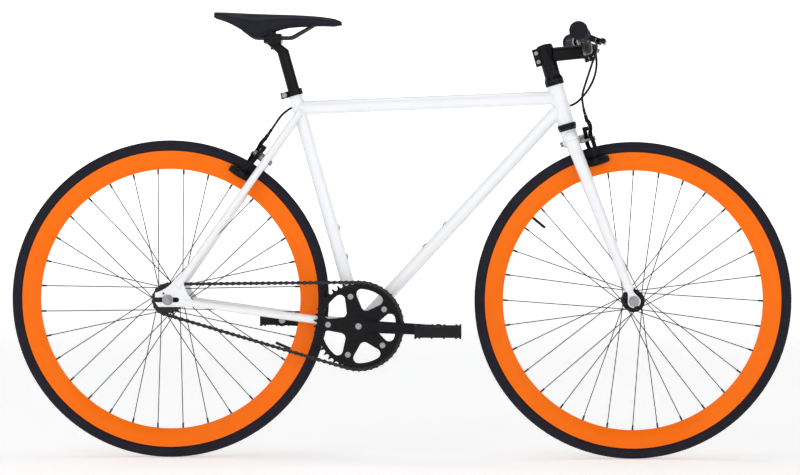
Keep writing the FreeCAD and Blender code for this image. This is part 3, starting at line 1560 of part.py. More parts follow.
def make_stem():
    """Stem body, split clamps, faceplate and the bolts that close them."""
    place = head_frame(stem_middle)
    half = dim.stem_clamp_height / 2
    bar_at = Vector(dim.stem_reach, 0, -dim.stem_drop)
    along = bar_at / bar_at.Length
    tall = Vector(-along.z, 0, along.x)
    sections = []
    for reach, wide, high in ((dim.steerer_radius, dim.stem_width, dim.stem_height),
                              (bar_at.Length - dim.bar_clamp_radius, dim.stem_width, dim.stem_height),
                              (bar_at.Length, dim.faceplate_width, dim.stem_height)):
        sections.append(rounded_section(along * reach, Y_AXIS, tall, wide, high, dim.stem_corner))
    neck = Part.makeLoft(sections, True, True)
    sleeve = rod(Z_AXIS * -half, Z_AXIS * half, dim.stem_sleeve_radius)
    width = Y_AXIS * (dim.faceplate_width / 2)
    clamp_outer = dim.bar_clamp_radius + dim.stem_clamp_wall
    clamp = rod(bar_at - width, bar_at + width, clamp_outer)
    lug = centred_box(Vector(-dim.pinch_place, 0, 0), 2 * dim.pinch_lug, dim.pinch_width,
                      dim.stem_clamp_height)
    over = dim.cut_overrun
    bores = [rod(Z_AXIS * (-half - over), Z_AXIS * (half + over), dim.steerer_radius + dim.running_fit),
             rod(bar_at - width * 2, bar_at + width * 2, dim.bar_clamp_radius + dim.running_fit),
             centred_box(Vector(-dim.pinch_place, 0, 0), 2 * dim.pinch_place - dim.steerer_radius,
                         dim.pinch_slit,
                         dim.stem_clamp_height + 2 * over)]
    front = clamp_outer + dim.faceplate_gap
    parting = centred_box(bar_at + X_AXIS * (front / 2), front + dim.faceplate_gap, dim.faceplate_width * 2,
                          clamp_outer * 4)
    ears = centred_box(bar_at + X_AXIS * (dim.faceplate_gap / 2 + dim.face_lug / 2), dim.face_lug,
                       dim.faceplate_width,
                       2 * dim.face_bolt_spread + 2 * dim.face_bolt_head_radius)
    face = clamp.common(parting).fuse(ears.common(parting))
    face = face.cut(centred_box(bar_at, 2 * dim.faceplate_gap, dim.faceplate_width * 2, clamp_outer * 4))
    ear_back = centred_box(bar_at - X_AXIS * (dim.face_lug / 2 + dim.faceplate_gap / 2), dim.face_lug,
                           dim.faceplate_width, 2 * dim.face_bolt_spread + 2 * dim.face_bolt_head_radius)
    body = neck.multiFuse([sleeve, clamp, lug, ear_back])
    bolt_spots = [Vector(bar_at.x, across * dim.faceplate_width / 3, bar_at.z + up * dim.face_bolt_spread)
                  for across in SIDES for up in SIDES]
    pinch_spots = [Vector(-dim.pinch_place, 0, up * dim.stem_clamp_height / 4) for up in SIDES]
    reach = X_AXIS * (dim.face_lug + dim.faceplate_gap)
    side = Y_AXIS * (dim.pinch_width / 2)
    face_bolts = [spot_bolt(spot - reach, spot + reach, dim.face_bolt_head_radius) for spot in bolt_spots]
    pinch_bolts = [spot_bolt(spot + side, spot - side, dim.pinch_bolt_head_radius) for spot in pinch_spots]
    holes = [rod(spot - reach * 2, spot + reach * 2,
                 dim.stem_bolt_radius + dim.running_fit) for spot in bolt_spots]
    holes += [rod(spot + side * 2, spot - side * 2,
                  dim.stem_bolt_radius + dim.running_fit) for spot in pinch_spots]
    node("stem", made("Stem", body.cut(bores + [parting] + holes), place))
    node("stem_faceplate", made("StemFaceplate", face.cut([bores[1]] + holes[:4]), place))
    return made("StemBolts", Part.makeCompound(face_bolts + pinch_bolts), place)


def spot_bolt(foot, face, head_radius):
    """A socket-head bolt from its foot to the face that its head sits on."""
    along = (face - foot).normalize()
    top = face + along * dim.stem_bolt_head
    shank = rod(foot, face + along * dim.running_fit, dim.stem_bolt_radius)
    head = rod(face, top, head_radius)
    socket = rod(face + along * dim.running_fit * 2, top + along, dim.stem_bolt_socket_radius)
    return shank.fuse(head).cut(socket)


bar_middle = on_head(bar_place, dim.stem_reach)
bar_end = bar_middle + Vector(-dim.bar_sweep, dim.bar_half_width, dim.bar_rise)
bar_knee = bar_middle + Vector(-dim.bar_sweep * dim.bar_knee_share, dim.bar_knee,
                               dim.bar_rise * dim.bar_knee_rise_share)
bar_foot = bar_middle + Vector(0, dim.bar_foot, 0)


def mirrored(point):
    return Vector(point.x, -point.y, point.z)


def make_handlebar():
    """A riser bar with a thicker clamping middle."""
    half = [bar_end, bar_knee, bar_foot]
    path = rounded_path(half + [mirrored(point) for point in reversed(half)], dim.bar_bend_radius)
    tube = bar_along(path, dim.bar_radius)
    bulge = Y_AXIS * dim.bar_bulge
    taper = Y_AXIS * dim.bar_taper
    pieces = [rod(bar_middle - bulge, bar_middle + bulge, dim.bar_clamp_radius)]
    for side in SIDES:
        pieces.append(Part.makeCone(dim.bar_clamp_radius, dim.bar_radius, dim.bar_taper,
                                    bar_middle + bulge * side,
                                    taper * side))
    inside = bar_along(path, dim.bar_radius - dim.bar_wall)
    return made("Handlebar", tube.multiFuse(pieces).cut(inside))


grip_axis = (bar_end - bar_knee).normalize()


def make_grips():
    """Rubber sleeves with a flange at the open end of the bar."""
    grips = []
    for number, side in enumerate(SIDES):
        axis = grip_axis if side > 0 else mirrored(grip_axis)
        end = bar_end if side > 0 else mirrored(bar_end)
        length = "grip_length"
        cap = "grip_length + grip_cap"
        bore = "bar_radius + running_fit"
        lip = "grip_length - grip_flange"
        grips.append(turned(f"Grip{number}", [
            (bore, "0"), ("grip_radius", "0"), ("grip_radius", lip), ("grip_flange_radius", lip),
            ("grip_flange_radius", cap), ("0", cap), ("0", f"{length} + running_fit"),
            (bore, f"{length} + running_fit")],
            placement=turned_to(axis, end - axis * dim.grip_length)))
    return group("Grips", grips)


lever_slope = math.radians(dim.lever_slope)
lever_forward = Vector(math.cos(lever_slope), 0, -math.sin(lever_slope))


def lever_frame(side):
    """Local X out along the bar, local Y ahead and down, from the middle of the lever's clamp."""
    out = grip_axis if side > 0 else mirrored(grip_axis)
    end = bar_end if side > 0 else mirrored(bar_end)
    ahead = (lever_forward - out * lever_forward.dot(out)).normalize()
    origin = end - out * (dim.grip_length + dim.lever_gap + dim.lever_clamp_width / 2)
    return Placement(origin, Rotation(out, ahead, out.cross(ahead), "XYZ"))


def make_lever_bracket(side):
    """A split clamp, a body with two cheeks, a pivot pin and a cable adjuster."""
    half = dim.lever_clamp_width / 2
    band = rod(X_AXIS * -half, X_AXIS * half, dim.bar_radius + dim.lever_clamp_wall)
    root = dim.bar_radius + dim.lever_clamp_wall / 2
    far = dim.lever_pivot_ahead + dim.lever_eye_radius
    thick = dim.lever_thickness + 2 * dim.lever_cheek
    body = Part.makeLoft([
        rounded_section(Vector(0, root, 0), X_AXIS, Z_AXIS, dim.lever_clamp_width, thick, dim.lever_corner),
        rounded_section(Vector(-dim.lever_pivot_back, far, 0), X_AXIS, Z_AXIS, 2 * dim.lever_eye_radius,
                        thick,
                        dim.lever_corner)], True, True)
    pivot = Vector(-dim.lever_pivot_back, dim.lever_pivot_ahead, 0)
    slot_low = pivot.y - dim.lever_eye_radius - 2 * dim.seat_gap
    slot_depth = far + dim.cut_overrun - slot_low
    slot = centred_box(Vector(pivot.x, slot_low + slot_depth / 2, 0), 6 * dim.lever_eye_radius, slot_depth,
                       dim.lever_thickness + 2 * dim.seat_gap)
    bore = rod(X_AXIS * (-half - dim.cut_overrun), X_AXIS * (half + dim.cut_overrun),
               dim.bar_radius + dim.running_fit)
    adjuster_root = Vector(-half + dim.lever_corner, dim.adjuster_ahead, 0)
    adjuster = rod(adjuster_root, adjuster_root - X_AXIS * dim.adjuster_length, dim.adjuster_radius)
    cheek = Z_AXIS * (thick / 2 + dim.seat_gap)
    pin = rod(pivot - cheek, pivot + cheek, dim.lever_pin_radius)
    bracket = band.multiFuse([body, adjuster]).cut([slot, bore]).fuse(pin)
    bracket.Placement = lever_frame(side)
    return bracket


def make_lever(name, side):
    """A flat blade that curves out along the grip, with an eye round the pivot pin."""
    pivot = Vector(-dim.lever_pivot_back, dim.lever_pivot_ahead, 0)
    half = Z_AXIS * (dim.lever_thickness / 2)
    eye = rod(pivot - half, pivot + half, dim.lever_eye_radius)
    spots = [pivot] + [Vector(dim.lever_blade_length * along_share, pivot.y + dim.lever_bow * bow_share, 0)
                       for along_share, bow_share in lever_shares]
    sections = []
    for number, spot in enumerate(spots):
        before = spots[max(number - 1, 0)]
        after = spots[min(number + 1, len(spots) - 1)]
        heading = (after - before).normalize()
        across = Vector(-heading.y, heading.x, 0)
        height = dim.lever_thickness if number < 2 else dim.lever_blade_height
        sections.append(rounded_section(spot, across, Z_AXIS, dim.lever_blade_width, height,
                                        dim.lever_corner))
    blade = Part.makeLoft(sections, True, False)
    hole = rod(pivot - half * 2, pivot + half * 2, dim.lever_pin_radius + dim.running_fit)
    return made(name, eye.fuse(blade).cut(hole), lever_frame(side))


lever_shares = ((0.22, 0.62), (0.55, 1.0), (0.85, 0.9), (1.0, 1.1))


make_fork()
node("headset_stack", make_headset_stack())
stem_bolts = make_stem()
node("handlebar", make_handlebar())
node("grips", make_grips())
node("lever_brackets", made("LeverBrackets", Part.makeCompound([make_lever_bracket(side) for side in SIDES])))
node("brake_lever_left", make_lever("LeverLeft", 1))
node("brake_lever_right", make_lever("LeverRight", -1))

# Brakes: calipers, their bolts, and the cables

def caliper_frame(mount, outward, up):
    """Local Y away from the mount, local Z away from the wheel, local X to the cable's side."""
    return Placement(mount, Rotation(outward.cross(up), outward, up, "XYZ"))


front_caliper = caliper_frame(on_head(brake_bolt_place, dim.crown_boss_reach), head_forward, head_up)
rear_caliper = caliper_frame(brake_bridge_at + seatstay_back * dim.brake_bridge_radius, seatstay_back,
                             seatstay_along)
inner_layer = dim.caliper_standoff + dim.arm_thickness / 2
outer_layer = inner_layer + dim.arm_thickness + dim.arm_gap
pad_layer = (inner_layer + outer_layer) / 2
arm_end = dim.rim_width / 2 + dim.pad_gap + dim.pad_thickness + dim.pad_standoff + dim.arm_width / 2


def strap(spots, widths, thickness):
    """A curved strap through spots in the caliper, thick along local Y."""
    sections = []
    for number, spot in enumerate(spots):
        heading = spots[min(number + 1, len(spots) - 1)] - spots[max(number - 1, 0)]
        across = Vector(heading.z, 0, -heading.x).normalize()
        sections.append(rounded_section(spot, across, Y_AXIS, widths[number], thickness, dim.lever_corner))
    return Part.makeLoft(sections, True, False)


def pad_height(place, wheel_at):
    """Where the pad's stud sits along the caliper's local Z so that the pad lies on the brake track."""
    track = dim.rim_outer_radius - dim.brake_track_height * pad_track_share
    axle = place.inverse().multVec(wheel_at)
    return axle.z + math.sqrt(track ** 2 - (axle.y - pad_layer) ** 2)


pad_track_share = 0.52
arm_elbow_share = 0.65
centre_arm_swell_share = 1.2
side_arm_swell_share = 1.3


def brake_pad(place, wheel_at, side):
    """A pad curved with the rim, its stud and its nut, in the caliper's local frame."""
    height = pad_height(place, wheel_at)
    axle = place.inverse().multVec(wheel_at)
    hub = Vector(0, axle.y, axle.z)
    stud_foot = Vector(0, pad_layer, height)
    radius = (stud_foot - hub).Length
    face = dim.rim_width / 2 + dim.pad_gap
    back = face + dim.pad_thickness
    half = dim.pad_height / 2
    outline = [Vector(across, 0, up) for across, up in
               ((face, radius - half), (back, radius - half), (back, radius + half), (face, radius + half))]
    section = Part.Face(Part.makePolygon(outline + outline[:1]))
    sweep = math.degrees(dim.pad_length / radius)
    lean = math.degrees(math.atan2(stud_foot.y - hub.y, stud_foot.z - hub.z))
    section.rotate(Vector(), X_AXIS, -lean - sweep / 2)
    shoe = section.revolve(Vector(), X_AXIS, sweep)
    shoe.translate(hub)
    if side < 0:
        shoe = shoe.mirror(Vector(), X_AXIS)
    out = X_AXIS * side
    stud = rod(stud_foot + out * (back - dim.pad_thickness / 2),
               stud_foot + out * (arm_end + dim.arm_width / 2),
               dim.stud_radius)
    nut = rod(stud_foot + out * (arm_end + dim.arm_width / 4),
              stud_foot + out * (arm_end + dim.arm_width / 2 + dim.stud_nut), dim.stud_nut_radius)
    return shoe.multiFuse([stud, nut])


def across_bore(x, z, radius):
    """A bore right through the caliper along local Y."""
    return rod(Vector(x, 0, z), Vector(x, 2 * outer_layer, z), radius)


def make_caliper(end, place, wheel_at):
    """The arm on the centre bolt and the arm on the side pivot, each with its pad."""
    drop = -pad_height(place, wheel_at)
    pads = {side: brake_pad(place, wheel_at, side) for side in SIDES}
    wide = dim.arm_width * arm_root_share
    anchor = Vector(dim.anchor_across, inner_layer, dim.anchor_height)
    centre_spots = [anchor, Vector(dim.anchor_across / 2, inner_layer, dim.anchor_height / 2),
                    Vector(0, inner_layer, 0), Vector(-arm_end * arm_elbow_share, inner_layer, 0),
                    Vector(-arm_end - dim.arm_bow, inner_layer, -drop / 3),
                    Vector(-arm_end - dim.arm_bow / 2, pad_layer, -drop * 2 / 3),
                    Vector(-arm_end, pad_layer, -drop - dim.arm_tip)]
    centre_arm = strap(centre_spots, [wide, wide, wide * centre_arm_swell_share, wide, wide, dim.arm_width,
                                      dim.arm_width],
                       dim.arm_thickness)
    eye = rod(Vector(0, inner_layer - dim.arm_thickness / 2, 0),
              Vector(0, inner_layer + dim.arm_thickness / 2, 0),
              dim.arm_eye_radius)
    screw_face = anchor + Y_AXIS * (dim.arm_thickness / 2)
    screw = rod(anchor, screw_face + Y_AXIS * dim.anchor_screw, dim.anchor_screw_radius)
    adjuster_low = dim.adjuster_foot
    wire_at = Vector(dim.anchor_across, outer_layer, dim.anchor_height)
    wire = rod(wire_at, Vector(wire_at.x, wire_at.y, adjuster_low - dim.wire_gap), dim.wire_radius)
    screw = screw.fuse(rod(screw_face, wire_at, dim.wire_radius * 2)).fuse(wire)
    centre_arm = centre_arm.fuse(eye).cut([across_bore(0, 0, dim.brake_bolt_radius + dim.running_fit), screw,
                                           pads[-1]])
    pivot = Vector(dim.pivot_across, outer_layer, -dim.pivot_drop)
    top = Vector(dim.anchor_across, outer_layer, adjuster_low + dim.arm_width / 2)
    side_spots = [top, Vector(dim.anchor_across + dim.arm_bow, outer_layer, dim.anchor_height / 2), pivot,
                  Vector(arm_end + dim.arm_bow, outer_layer, -drop / 2),
                  Vector(arm_end + dim.arm_bow / 2, pad_layer, -drop * 3 / 4),
                  Vector(arm_end, pad_layer, -drop - dim.arm_tip)]
    side_arm = strap(side_spots, [wide, wide, wide * side_arm_swell_share, wide, dim.arm_width,
                                  dim.arm_width], dim.arm_thickness)
    barrel = rod(Vector(top.x, top.y, adjuster_low),
                 Vector(top.x, top.y, adjuster_low + dim.caliper_adjuster_length),
                 dim.adjuster_radius)
    side_arm = side_arm.fuse(barrel).cut([across_bore(pivot.x, pivot.z, dim.pivot_radius + dim.running_fit),
                                          pads[1]])
    centre_side, pivot_side = ("left", "right") if end == "front" else ("right", "left")
    node(f"{end}_caliper_{centre_side}_arm",
         made(end.capitalize() + "CentreArm", Part.makeCompound([centre_arm, screw, pads[-1]]), place))
    node(f"{end}_caliper_{pivot_side}_arm",
         made(end.capitalize() + "SideArm", Part.makeCompound([side_arm, pads[1]]), place))


arm_root_share = 1.25


def caliper_bolt(name, place, mount_depth):
    """Centre bolt, back nut, washer and the bridge that carries the side pivot."""
    front = outer_layer + dim.arm_thickness / 2 + dim.arm_gap
    pivot = Vector(dim.pivot_across, 0, -dim.pivot_drop)
    nut_end = -mount_depth - dim.brake_nut
    arm_front = inner_layer + dim.arm_thickness / 2 + dim.seat_gap
    pieces = [
        rod(Vector(0, nut_end, 0), Vector(0, -mount_depth, 0), dim.brake_nut_radius),
        rod(Vector(), Vector(0, dim.caliper_standoff - dim.seat_gap, 0), dim.arm_eye_radius),
        rod(Vector(0, arm_front, 0), Vector(0, arm_front + dim.brake_nut, 0), dim.brake_nut_radius),
        rod(pivot + Y_AXIS * dim.seat_gap, pivot + Y_AXIS * front, dim.pivot_radius),
        rod(pivot + Y_AXIS * front, pivot + Y_AXIS * (front + dim.pivot_cap), dim.pivot_cap_radius),
    ]
    bridge = strap([Vector(0, 0, 0), pivot], [dim.arm_width, dim.arm_width],
                   dim.caliper_standoff - 2 * dim.seat_gap)
    bridge.translate(Y_AXIS * (dim.caliper_standoff / 2))
    foot = rod(pivot + Y_AXIS * dim.seat_gap, pivot + Y_AXIS * (dim.caliper_standoff - dim.seat_gap),
               dim.arm_width / 2)
    shank = rod(Vector(0, nut_end, 0), Vector(0, arm_front + dim.brake_nut, 0), dim.brake_bolt_radius)
    return made(name, shank.multiFuse(pieces + [bridge, foot]), place)


def cable_tube(name, points):
    """A cable housing through points chosen by hand, with an arc as large as the runs allow at each."""
    path = rounded_path(points, None)
    tube = bar_along(path, dim.cable_radius)
    share = tube.Volume / (math.pi * dim.cable_radius ** 2 * path.Length)
    print(name, "length", round(path.Length, 1), "volume share", round(share, 4))
    return made(name, tube)


def lever_cable_end(side):
    """Where the housing meets the lever's adjuster, and the way that it leaves."""
    frame = lever_frame(side)
    end = Vector(-dim.lever_clamp_width / 2 + dim.lever_corner - dim.adjuster_length, dim.adjuster_ahead, 0)
    return frame.multVec(end), frame.Rotation.multVec(X_AXIS * -1)


def caliper_cable_end(place):
    """Where the housing meets a caliper's adjuster, and the way up from there."""
    top = dim.adjuster_foot + dim.caliper_adjuster_length + dim.seat_gap
    return place.multVec(Vector(dim.anchor_across, outer_layer, top)), place.Rotation.multVec(Z_AXIS)


top_tube_along = (top_tube_front - top_tube_rear).normalize()
cable_offset = Y_AXIS * (dim.top_tube_radius + dim.cable_radius + dim.clip_wall)


def beside_top_tube(distance):
    """A point of the cable on the left of the top tube, measured from the seat tube's axis."""
    return top_tube_rear + top_tube_along * distance + cable_offset


# Places of each cable between its leads, as shares of the way ahead, across and up.
front_cable_shares = ((-0.08, 0.5, 0.134), (0.286, 0.79, 0.416), (0.72, 0.925, 0.747))
loop_shares = ((-0.05, 0.433, 0.172), (-0.059, 0.642, 0.427), (0.015, 0.752, 0.682), (0.172, 0.826, 0.92),
               (0.393, 0.875, 1.124), (0.67, 0.912, 1.158))
rear_cable_shares = ((0.298, 0.565, -0.155), (0.727, 1.0, 0.318))


def on_the_way(start, end, shares):
    """Places between two points, with a share of the way for each axis."""
    span = end - start
    return [start + Vector(span.x * ahead, span.y * across, span.z * up) for ahead, across, up in shares]


def make_cables():
    """The front cable, the rear cable's loop at the bar and its run along the top tube."""
    start, away = lever_cable_end(-1)
    lead = start + away * dim.cable_lead
    end, up = caliper_cable_end(front_caliper)
    end_lead = end + up * dim.front_stop_lead
    node("front_brake_cable", cable_tube("FrontCable", [
        start, lead] + on_the_way(lead, end_lead, front_cable_shares) + [end_lead, end]))
    start, away = lever_cable_end(1)
    lead = start + away * dim.cable_lead
    first_clip = beside_top_tube(dim.front_clip_place)
    end_lead = first_clip + top_tube_along * dim.clip_lead
    node("rear_cable_loop", cable_tube("RearLoop", [
        start, lead] + on_the_way(lead, end_lead, loop_shares) + [end_lead, first_clip]))
    end, up = caliper_cable_end(rear_caliper)
    last_clip = beside_top_tube(dim.rear_clip_place)
    lead = last_clip - top_tube_along * dim.tail_lead + Y_AXIS * dim.tail_swing
    end_lead = end + up * dim.rear_stop_lead
    node("rear_brake_cable", cable_tube("RearCable", [
        first_clip, last_clip, lead] + on_the_way(lead, end_lead, rear_cable_shares) + [end_lead, end]))


def make_cable_clips():
    """Small brazed guides that hold the rear cable beside the top tube."""
    clips = []
    span = dim.front_clip_place - dim.rear_clip_place
    reach = top_tube_along * (dim.clip_width / 2)
    for number in range(int(dim.clip_count)):
        inset = dim.clip_inset + number * (span - 2 * dim.clip_inset) / (dim.clip_count - 1)
        centre = top_tube_rear + top_tube_along * (dim.rear_clip_place + inset)
        eye = centre + cable_offset
        foot = rod(centre, eye, dim.cable_radius)
        loop = rod(eye - reach, eye + reach, dim.cable_radius + dim.clip_wall)
        bores = [rod(centre - reach * 2, centre + reach * 2, dim.top_tube_radius + dim.running_fit),
                 rod(eye - reach * 2, eye + reach * 2, dim.cable_radius + dim.running_fit)]
        clips.append(foot.fuse(loop).cut(bores))
    return made("CableClips", Part.makeCompound(clips))


make_caliper("front", front_caliper, front_axle_at)
make_caliper("rear", rear_caliper, rear_axle_at)
front_brake_bolt = caliper_bolt("FrontBrakeBolt", front_caliper, 2 * dim.crown_boss_reach)
rear_brake_bolt = caliper_bolt("RearBrakeBolt", rear_caliper, 2 * dim.brake_bridge_radius)
node("steering_bolts", group("SteeringBolts", [stem_bolts, front_brake_bolt]))
node("frame_bolts", group("FrameBolts", [collar_bolt, rear_brake_bolt]))
make_cables()
node("cable_clips", make_cable_clips())

# Saddle and seatpost

# Along the saddle from tail to nose: place, half width, crown and lower edge, each as a share of
# the saddle's length, half width and depth.
saddle_shares = (
    (0.0, 0.56, 1.0, 0.76), (0.1, 0.88, 0.985, 0.6), (0.22, 1.0, 0.96, 0.28), (0.33, 0.86, 0.94, 0.0),
    (0.46, 0.6, 0.92, 0.26), (0.62, 0.41, 0.9, 0.44), (0.8, 0.3, 0.85, 0.48), (0.94, 0.24, 0.76, 0.46),
    (1.0, 0.14, 0.65, 0.5),
)
edge_in_share = 0.86
bulge_share = 0.42
shoulder_share = 0.72
shoulder_in_share = 0.9


def saddle_section(row, side_inset, top_inset, drop):
    """One cross-section: a crowned top, bowed sides drawn in below, and a flat underside."""
    place, wide, crown, edge = row
    x = dim.saddle_tail + dim.saddle_length * place
    half = dim.saddle_width / 2 * wide - side_inset
    high = dim.saddle_bottom + dim.saddle_depth * crown - top_inset
    low = dim.saddle_bottom + dim.saddle_depth * edge - drop
    rise = high - low

    def at(across, up):
        return Vector(x, half * across, low + rise * up)

    arcs = [(at(-edge_in_share, 0), at(-1, bulge_share), at(-shoulder_in_share, shoulder_share)),
            (at(-shoulder_in_share, shoulder_share), at(0, 1), at(shoulder_in_share, shoulder_share)),
            (at(shoulder_in_share, shoulder_share), at(1, bulge_share), at(edge_in_share, 0))]
    edges = [Part.Arc(*points).toShape() for points in arcs]
    edges.append(Part.LineSegment(at(edge_in_share, 0), at(-edge_in_share, 0)).toShape())
    return Part.Wire(edges)


def saddle_loft(rows, side_inset, top_inset, drop):
    return Part.makeLoft([saddle_section(row, side_inset, top_inset, drop) for row in rows], True, False)


def rail_path(side):
    """One rail from the nose, straight through the clamp and up to the tail."""
    level = dim.rail_height
    points = [Vector(dim.rail_nose, side * dim.rail_nose_spread, level + dim.rail_nose_rise),
              Vector(dim.rail_bend, side * dim.rail_spread, level),
              Vector(dim.rail_kick, side * dim.rail_spread, level),
              Vector(dim.rail_tail, side * dim.rail_tail_spread, level + dim.rail_tail_rise)]
    return rounded_path(points, dim.rail_bend_radius)


def make_saddle():
    """Padded cover, moulded base with rail sockets, and two bent rails."""
    inner_rows = saddle_shares[1:-1]
    skin = dim.cover_side
    pad = dim.cover_padding
    gap = dim.seat_gap
    wall = dim.base_wall
    over = dim.cut_overrun
    cover = saddle_loft(saddle_shares, 0, 0, 0).cut(saddle_loft(inner_rows, skin, pad, over))
    base_form = saddle_loft(inner_rows, skin + gap, pad + gap, over)
    shell = base_form.cut(saddle_loft(inner_rows, skin + gap + wall, pad + gap + wall, 2 * over))
    rails = [bar_along(rail_path(side), dim.rail_radius) for side in SIDES]
    bores = [bar_along(rail_path(side), dim.rail_radius + dim.running_fit) for side in SIDES]
    sockets = [centred_box(Vector(dim.rail_nose, 0,
                                  dim.rail_height + dim.rail_nose_rise + dim.socket_size / 4),
                           dim.socket_size, 2 * dim.rail_nose_spread + dim.socket_size, dim.socket_size)]
    for side in SIDES:
        centre = Vector(dim.rail_tail, side * dim.rail_tail_spread,
                        dim.rail_height + dim.rail_tail_rise + dim.socket_size / 4)
        sockets.append(centred_box(centre, dim.socket_size, dim.socket_size, dim.socket_size))
    held = [socket.common(base_form) for socket in sockets]
    node("saddle_cover", made("SaddleCover", cover.cut(bores)))
    node("saddle_base", made("SaddleBase", shell.multiFuse(held).cut(bores)))
    node("saddle_rails", made("SaddleRails", Part.makeCompound(rails)))
    return bores


def make_seatpost(rail_bores):
    """A plain post with a set-back head, and the clamp that grips the rails."""
    low = on_seat(dim.seat_tube_length - dim.post_insertion)
    shoulder = on_seat(dim.post_length - dim.post_insertion + dim.seat_tube_length)
    clamp_at = Vector(dim.clamp_place, 0, dim.rail_height)
    cradle_low = clamp_at - Z_AXIS * (dim.rail_radius + dim.cradle_height)
    round_corner = dim.seatpost_radius - dim.running_fit
    neck = Part.makeLoft([
        rounded_section(shoulder - seat_up * dim.seatpost_radius, seat_forward, Y_AXIS,
                        2 * dim.seatpost_radius,
                        2 * dim.seatpost_radius, round_corner),
        rounded_section(cradle_low, X_AXIS, Y_AXIS, dim.post_head_length, dim.post_head_width,
                        dim.stem_corner)],
        True, True)
    post = rod(low, shoulder - seat_up * dim.seatpost_radius, dim.seatpost_radius)
    bore = rod(low - seat_up, shoulder - seat_up * dim.post_head_length, dim.seatpost_radius - dim.post_wall)
    bolt_low = cradle_low - Z_AXIS * dim.clamp_bolt_drop
    bolt_top = clamp_at + Z_AXIS * (dim.rail_radius + dim.clamp_plate)
    bolt_way = rod(bolt_low - Z_AXIS * dim.post_head_length, bolt_top, dim.clamp_bolt_radius + dim.seat_gap)
    head_way = rod(bolt_low - Z_AXIS * dim.post_head_length, bolt_low,
                   dim.clamp_bolt_head_radius + dim.seat_gap)
    node("seatpost", made("Seatpost", post.fuse(neck).cut([bore, bolt_way, head_way])))
    wide = 2 * dim.rail_spread + dim.clamp_overhang
    plate_half = dim.rail_radius - dim.clamp_parting / 2
    cradle_size = dim.cradle_height + plate_half
    cradle = centred_box(cradle_low + Z_AXIS * (cradle_size / 2), dim.clamp_length, wide, cradle_size)
    upper_size = dim.clamp_plate + plate_half
    upper = centred_box(bolt_top - Z_AXIS * (upper_size / 2), dim.clamp_length, wide, upper_size)
    pieces = [solid.cut(rail_bores + [bolt_way]) for solid in (cradle, upper)]
    shank = rod(bolt_low, bolt_top, dim.clamp_bolt_radius)
    head = rod(bolt_low - Z_AXIS * dim.clamp_bolt_head, bolt_low, dim.clamp_bolt_head_radius)
    nut = rod(bolt_top, bolt_top + Z_AXIS * dim.clamp_bolt_head, dim.clamp_bolt_head_radius)
    node("saddle_clamp", made("SaddleClamp", Part.makeCompound(pieces + [shank.multiFuse([head, nut])])))


make_seatpost(make_saddle())


# Writing

doc.recompute()
failed = [item.Label for item in doc.Objects if "Invalid" in item.State or "Error" in item.State]
for item in nodes:
    if item.Shape.isNull() or not item.Shape.isValid():
        failed.append(item.Label)
if failed:
    raise RuntimeError("Failed: " + ", ".join(failed))
os.makedirs("parts", exist_ok=True)
for item in nodes:
    item.Shape.exportStep(f"parts/{item.Label}.step")
    print(item.Label, len(item.Shape.Solids), round(item.Shape.Volume, 1))
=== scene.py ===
# %% [markdown]
# A fixed gear bicycle: white steel frame, deep orange rims, black bars, cranks and saddle. The solid
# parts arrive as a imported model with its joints. This lesson gives every part a finish and adds the
# soft and fine pieces that a solid model leaves out.

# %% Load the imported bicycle
import json
import math

import bmesh
import bpy
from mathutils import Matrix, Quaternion, Vector


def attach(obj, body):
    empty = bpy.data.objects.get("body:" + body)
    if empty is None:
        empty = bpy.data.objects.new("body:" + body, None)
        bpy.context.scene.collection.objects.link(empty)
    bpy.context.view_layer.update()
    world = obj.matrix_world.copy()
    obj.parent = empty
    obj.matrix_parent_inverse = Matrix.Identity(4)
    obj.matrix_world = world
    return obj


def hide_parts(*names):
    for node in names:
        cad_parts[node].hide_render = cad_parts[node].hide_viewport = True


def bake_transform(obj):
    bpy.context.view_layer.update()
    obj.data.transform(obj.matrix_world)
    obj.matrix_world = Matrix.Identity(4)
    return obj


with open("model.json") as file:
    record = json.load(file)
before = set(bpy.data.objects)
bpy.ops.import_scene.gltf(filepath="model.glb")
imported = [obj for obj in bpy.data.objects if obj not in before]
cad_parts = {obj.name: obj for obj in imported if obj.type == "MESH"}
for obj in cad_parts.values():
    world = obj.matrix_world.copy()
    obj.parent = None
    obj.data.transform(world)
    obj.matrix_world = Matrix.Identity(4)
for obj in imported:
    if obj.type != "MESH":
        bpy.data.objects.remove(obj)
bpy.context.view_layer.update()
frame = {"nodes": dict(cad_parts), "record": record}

nodes = frame["nodes"]

# %% [markdown]
# The bicycle is seen square on from its drive side, from a few metres away, with a long lens. A camera
# can be aimed by hand or worked out from known points. Here its place and lens were fitted to the two
# wheel centres, the bar end and the crank, so the picture and the model share one frame. The optical
# axis lies a little off the middle of the picture, which the lens shift reproduces.

# %% Camera
picture_width = 800
focal_pixels = 3192.9
axis_right_pixels = 65.3
axis_down_pixels = 4.1
camera_place = Vector((0.1837, -6.8277, 0.5908))
camera_yaw = math.radians(-0.403)
camera_pitch = math.radians(-1.068)
camera_roll = math.radians(0.194)

ahead = Vector((math.sin(camera_yaw) * math.cos(camera_pitch),
                math.cos(camera_yaw) * math.cos(camera_pitch),
                math.sin(camera_pitch)))
camera_data = bpy.data.cameras.new("side_camera")
camera_data.lens = focal_pixels / picture_width * camera_data.sensor_width
camera_data.shift_x = -axis_right_pixels / picture_width
camera_data.shift_y = axis_down_pixels / picture_width
camera = bpy.data.objects.new("side_camera", camera_data)
camera.location = camera_place
camera.rotation_mode = "QUATERNION"
camera.rotation_quaternion = ahead.to_track_quat("-Z", "Y") @ Quaternion((0, 0, 1), camera_roll)
bpy.context.scene.collection.objects.link(camera)
bpy.context.scene.camera = camera
print("lens", round(camera_data.lens, 1), "shift", camera_data.shift_x, camera_data.shift_y)

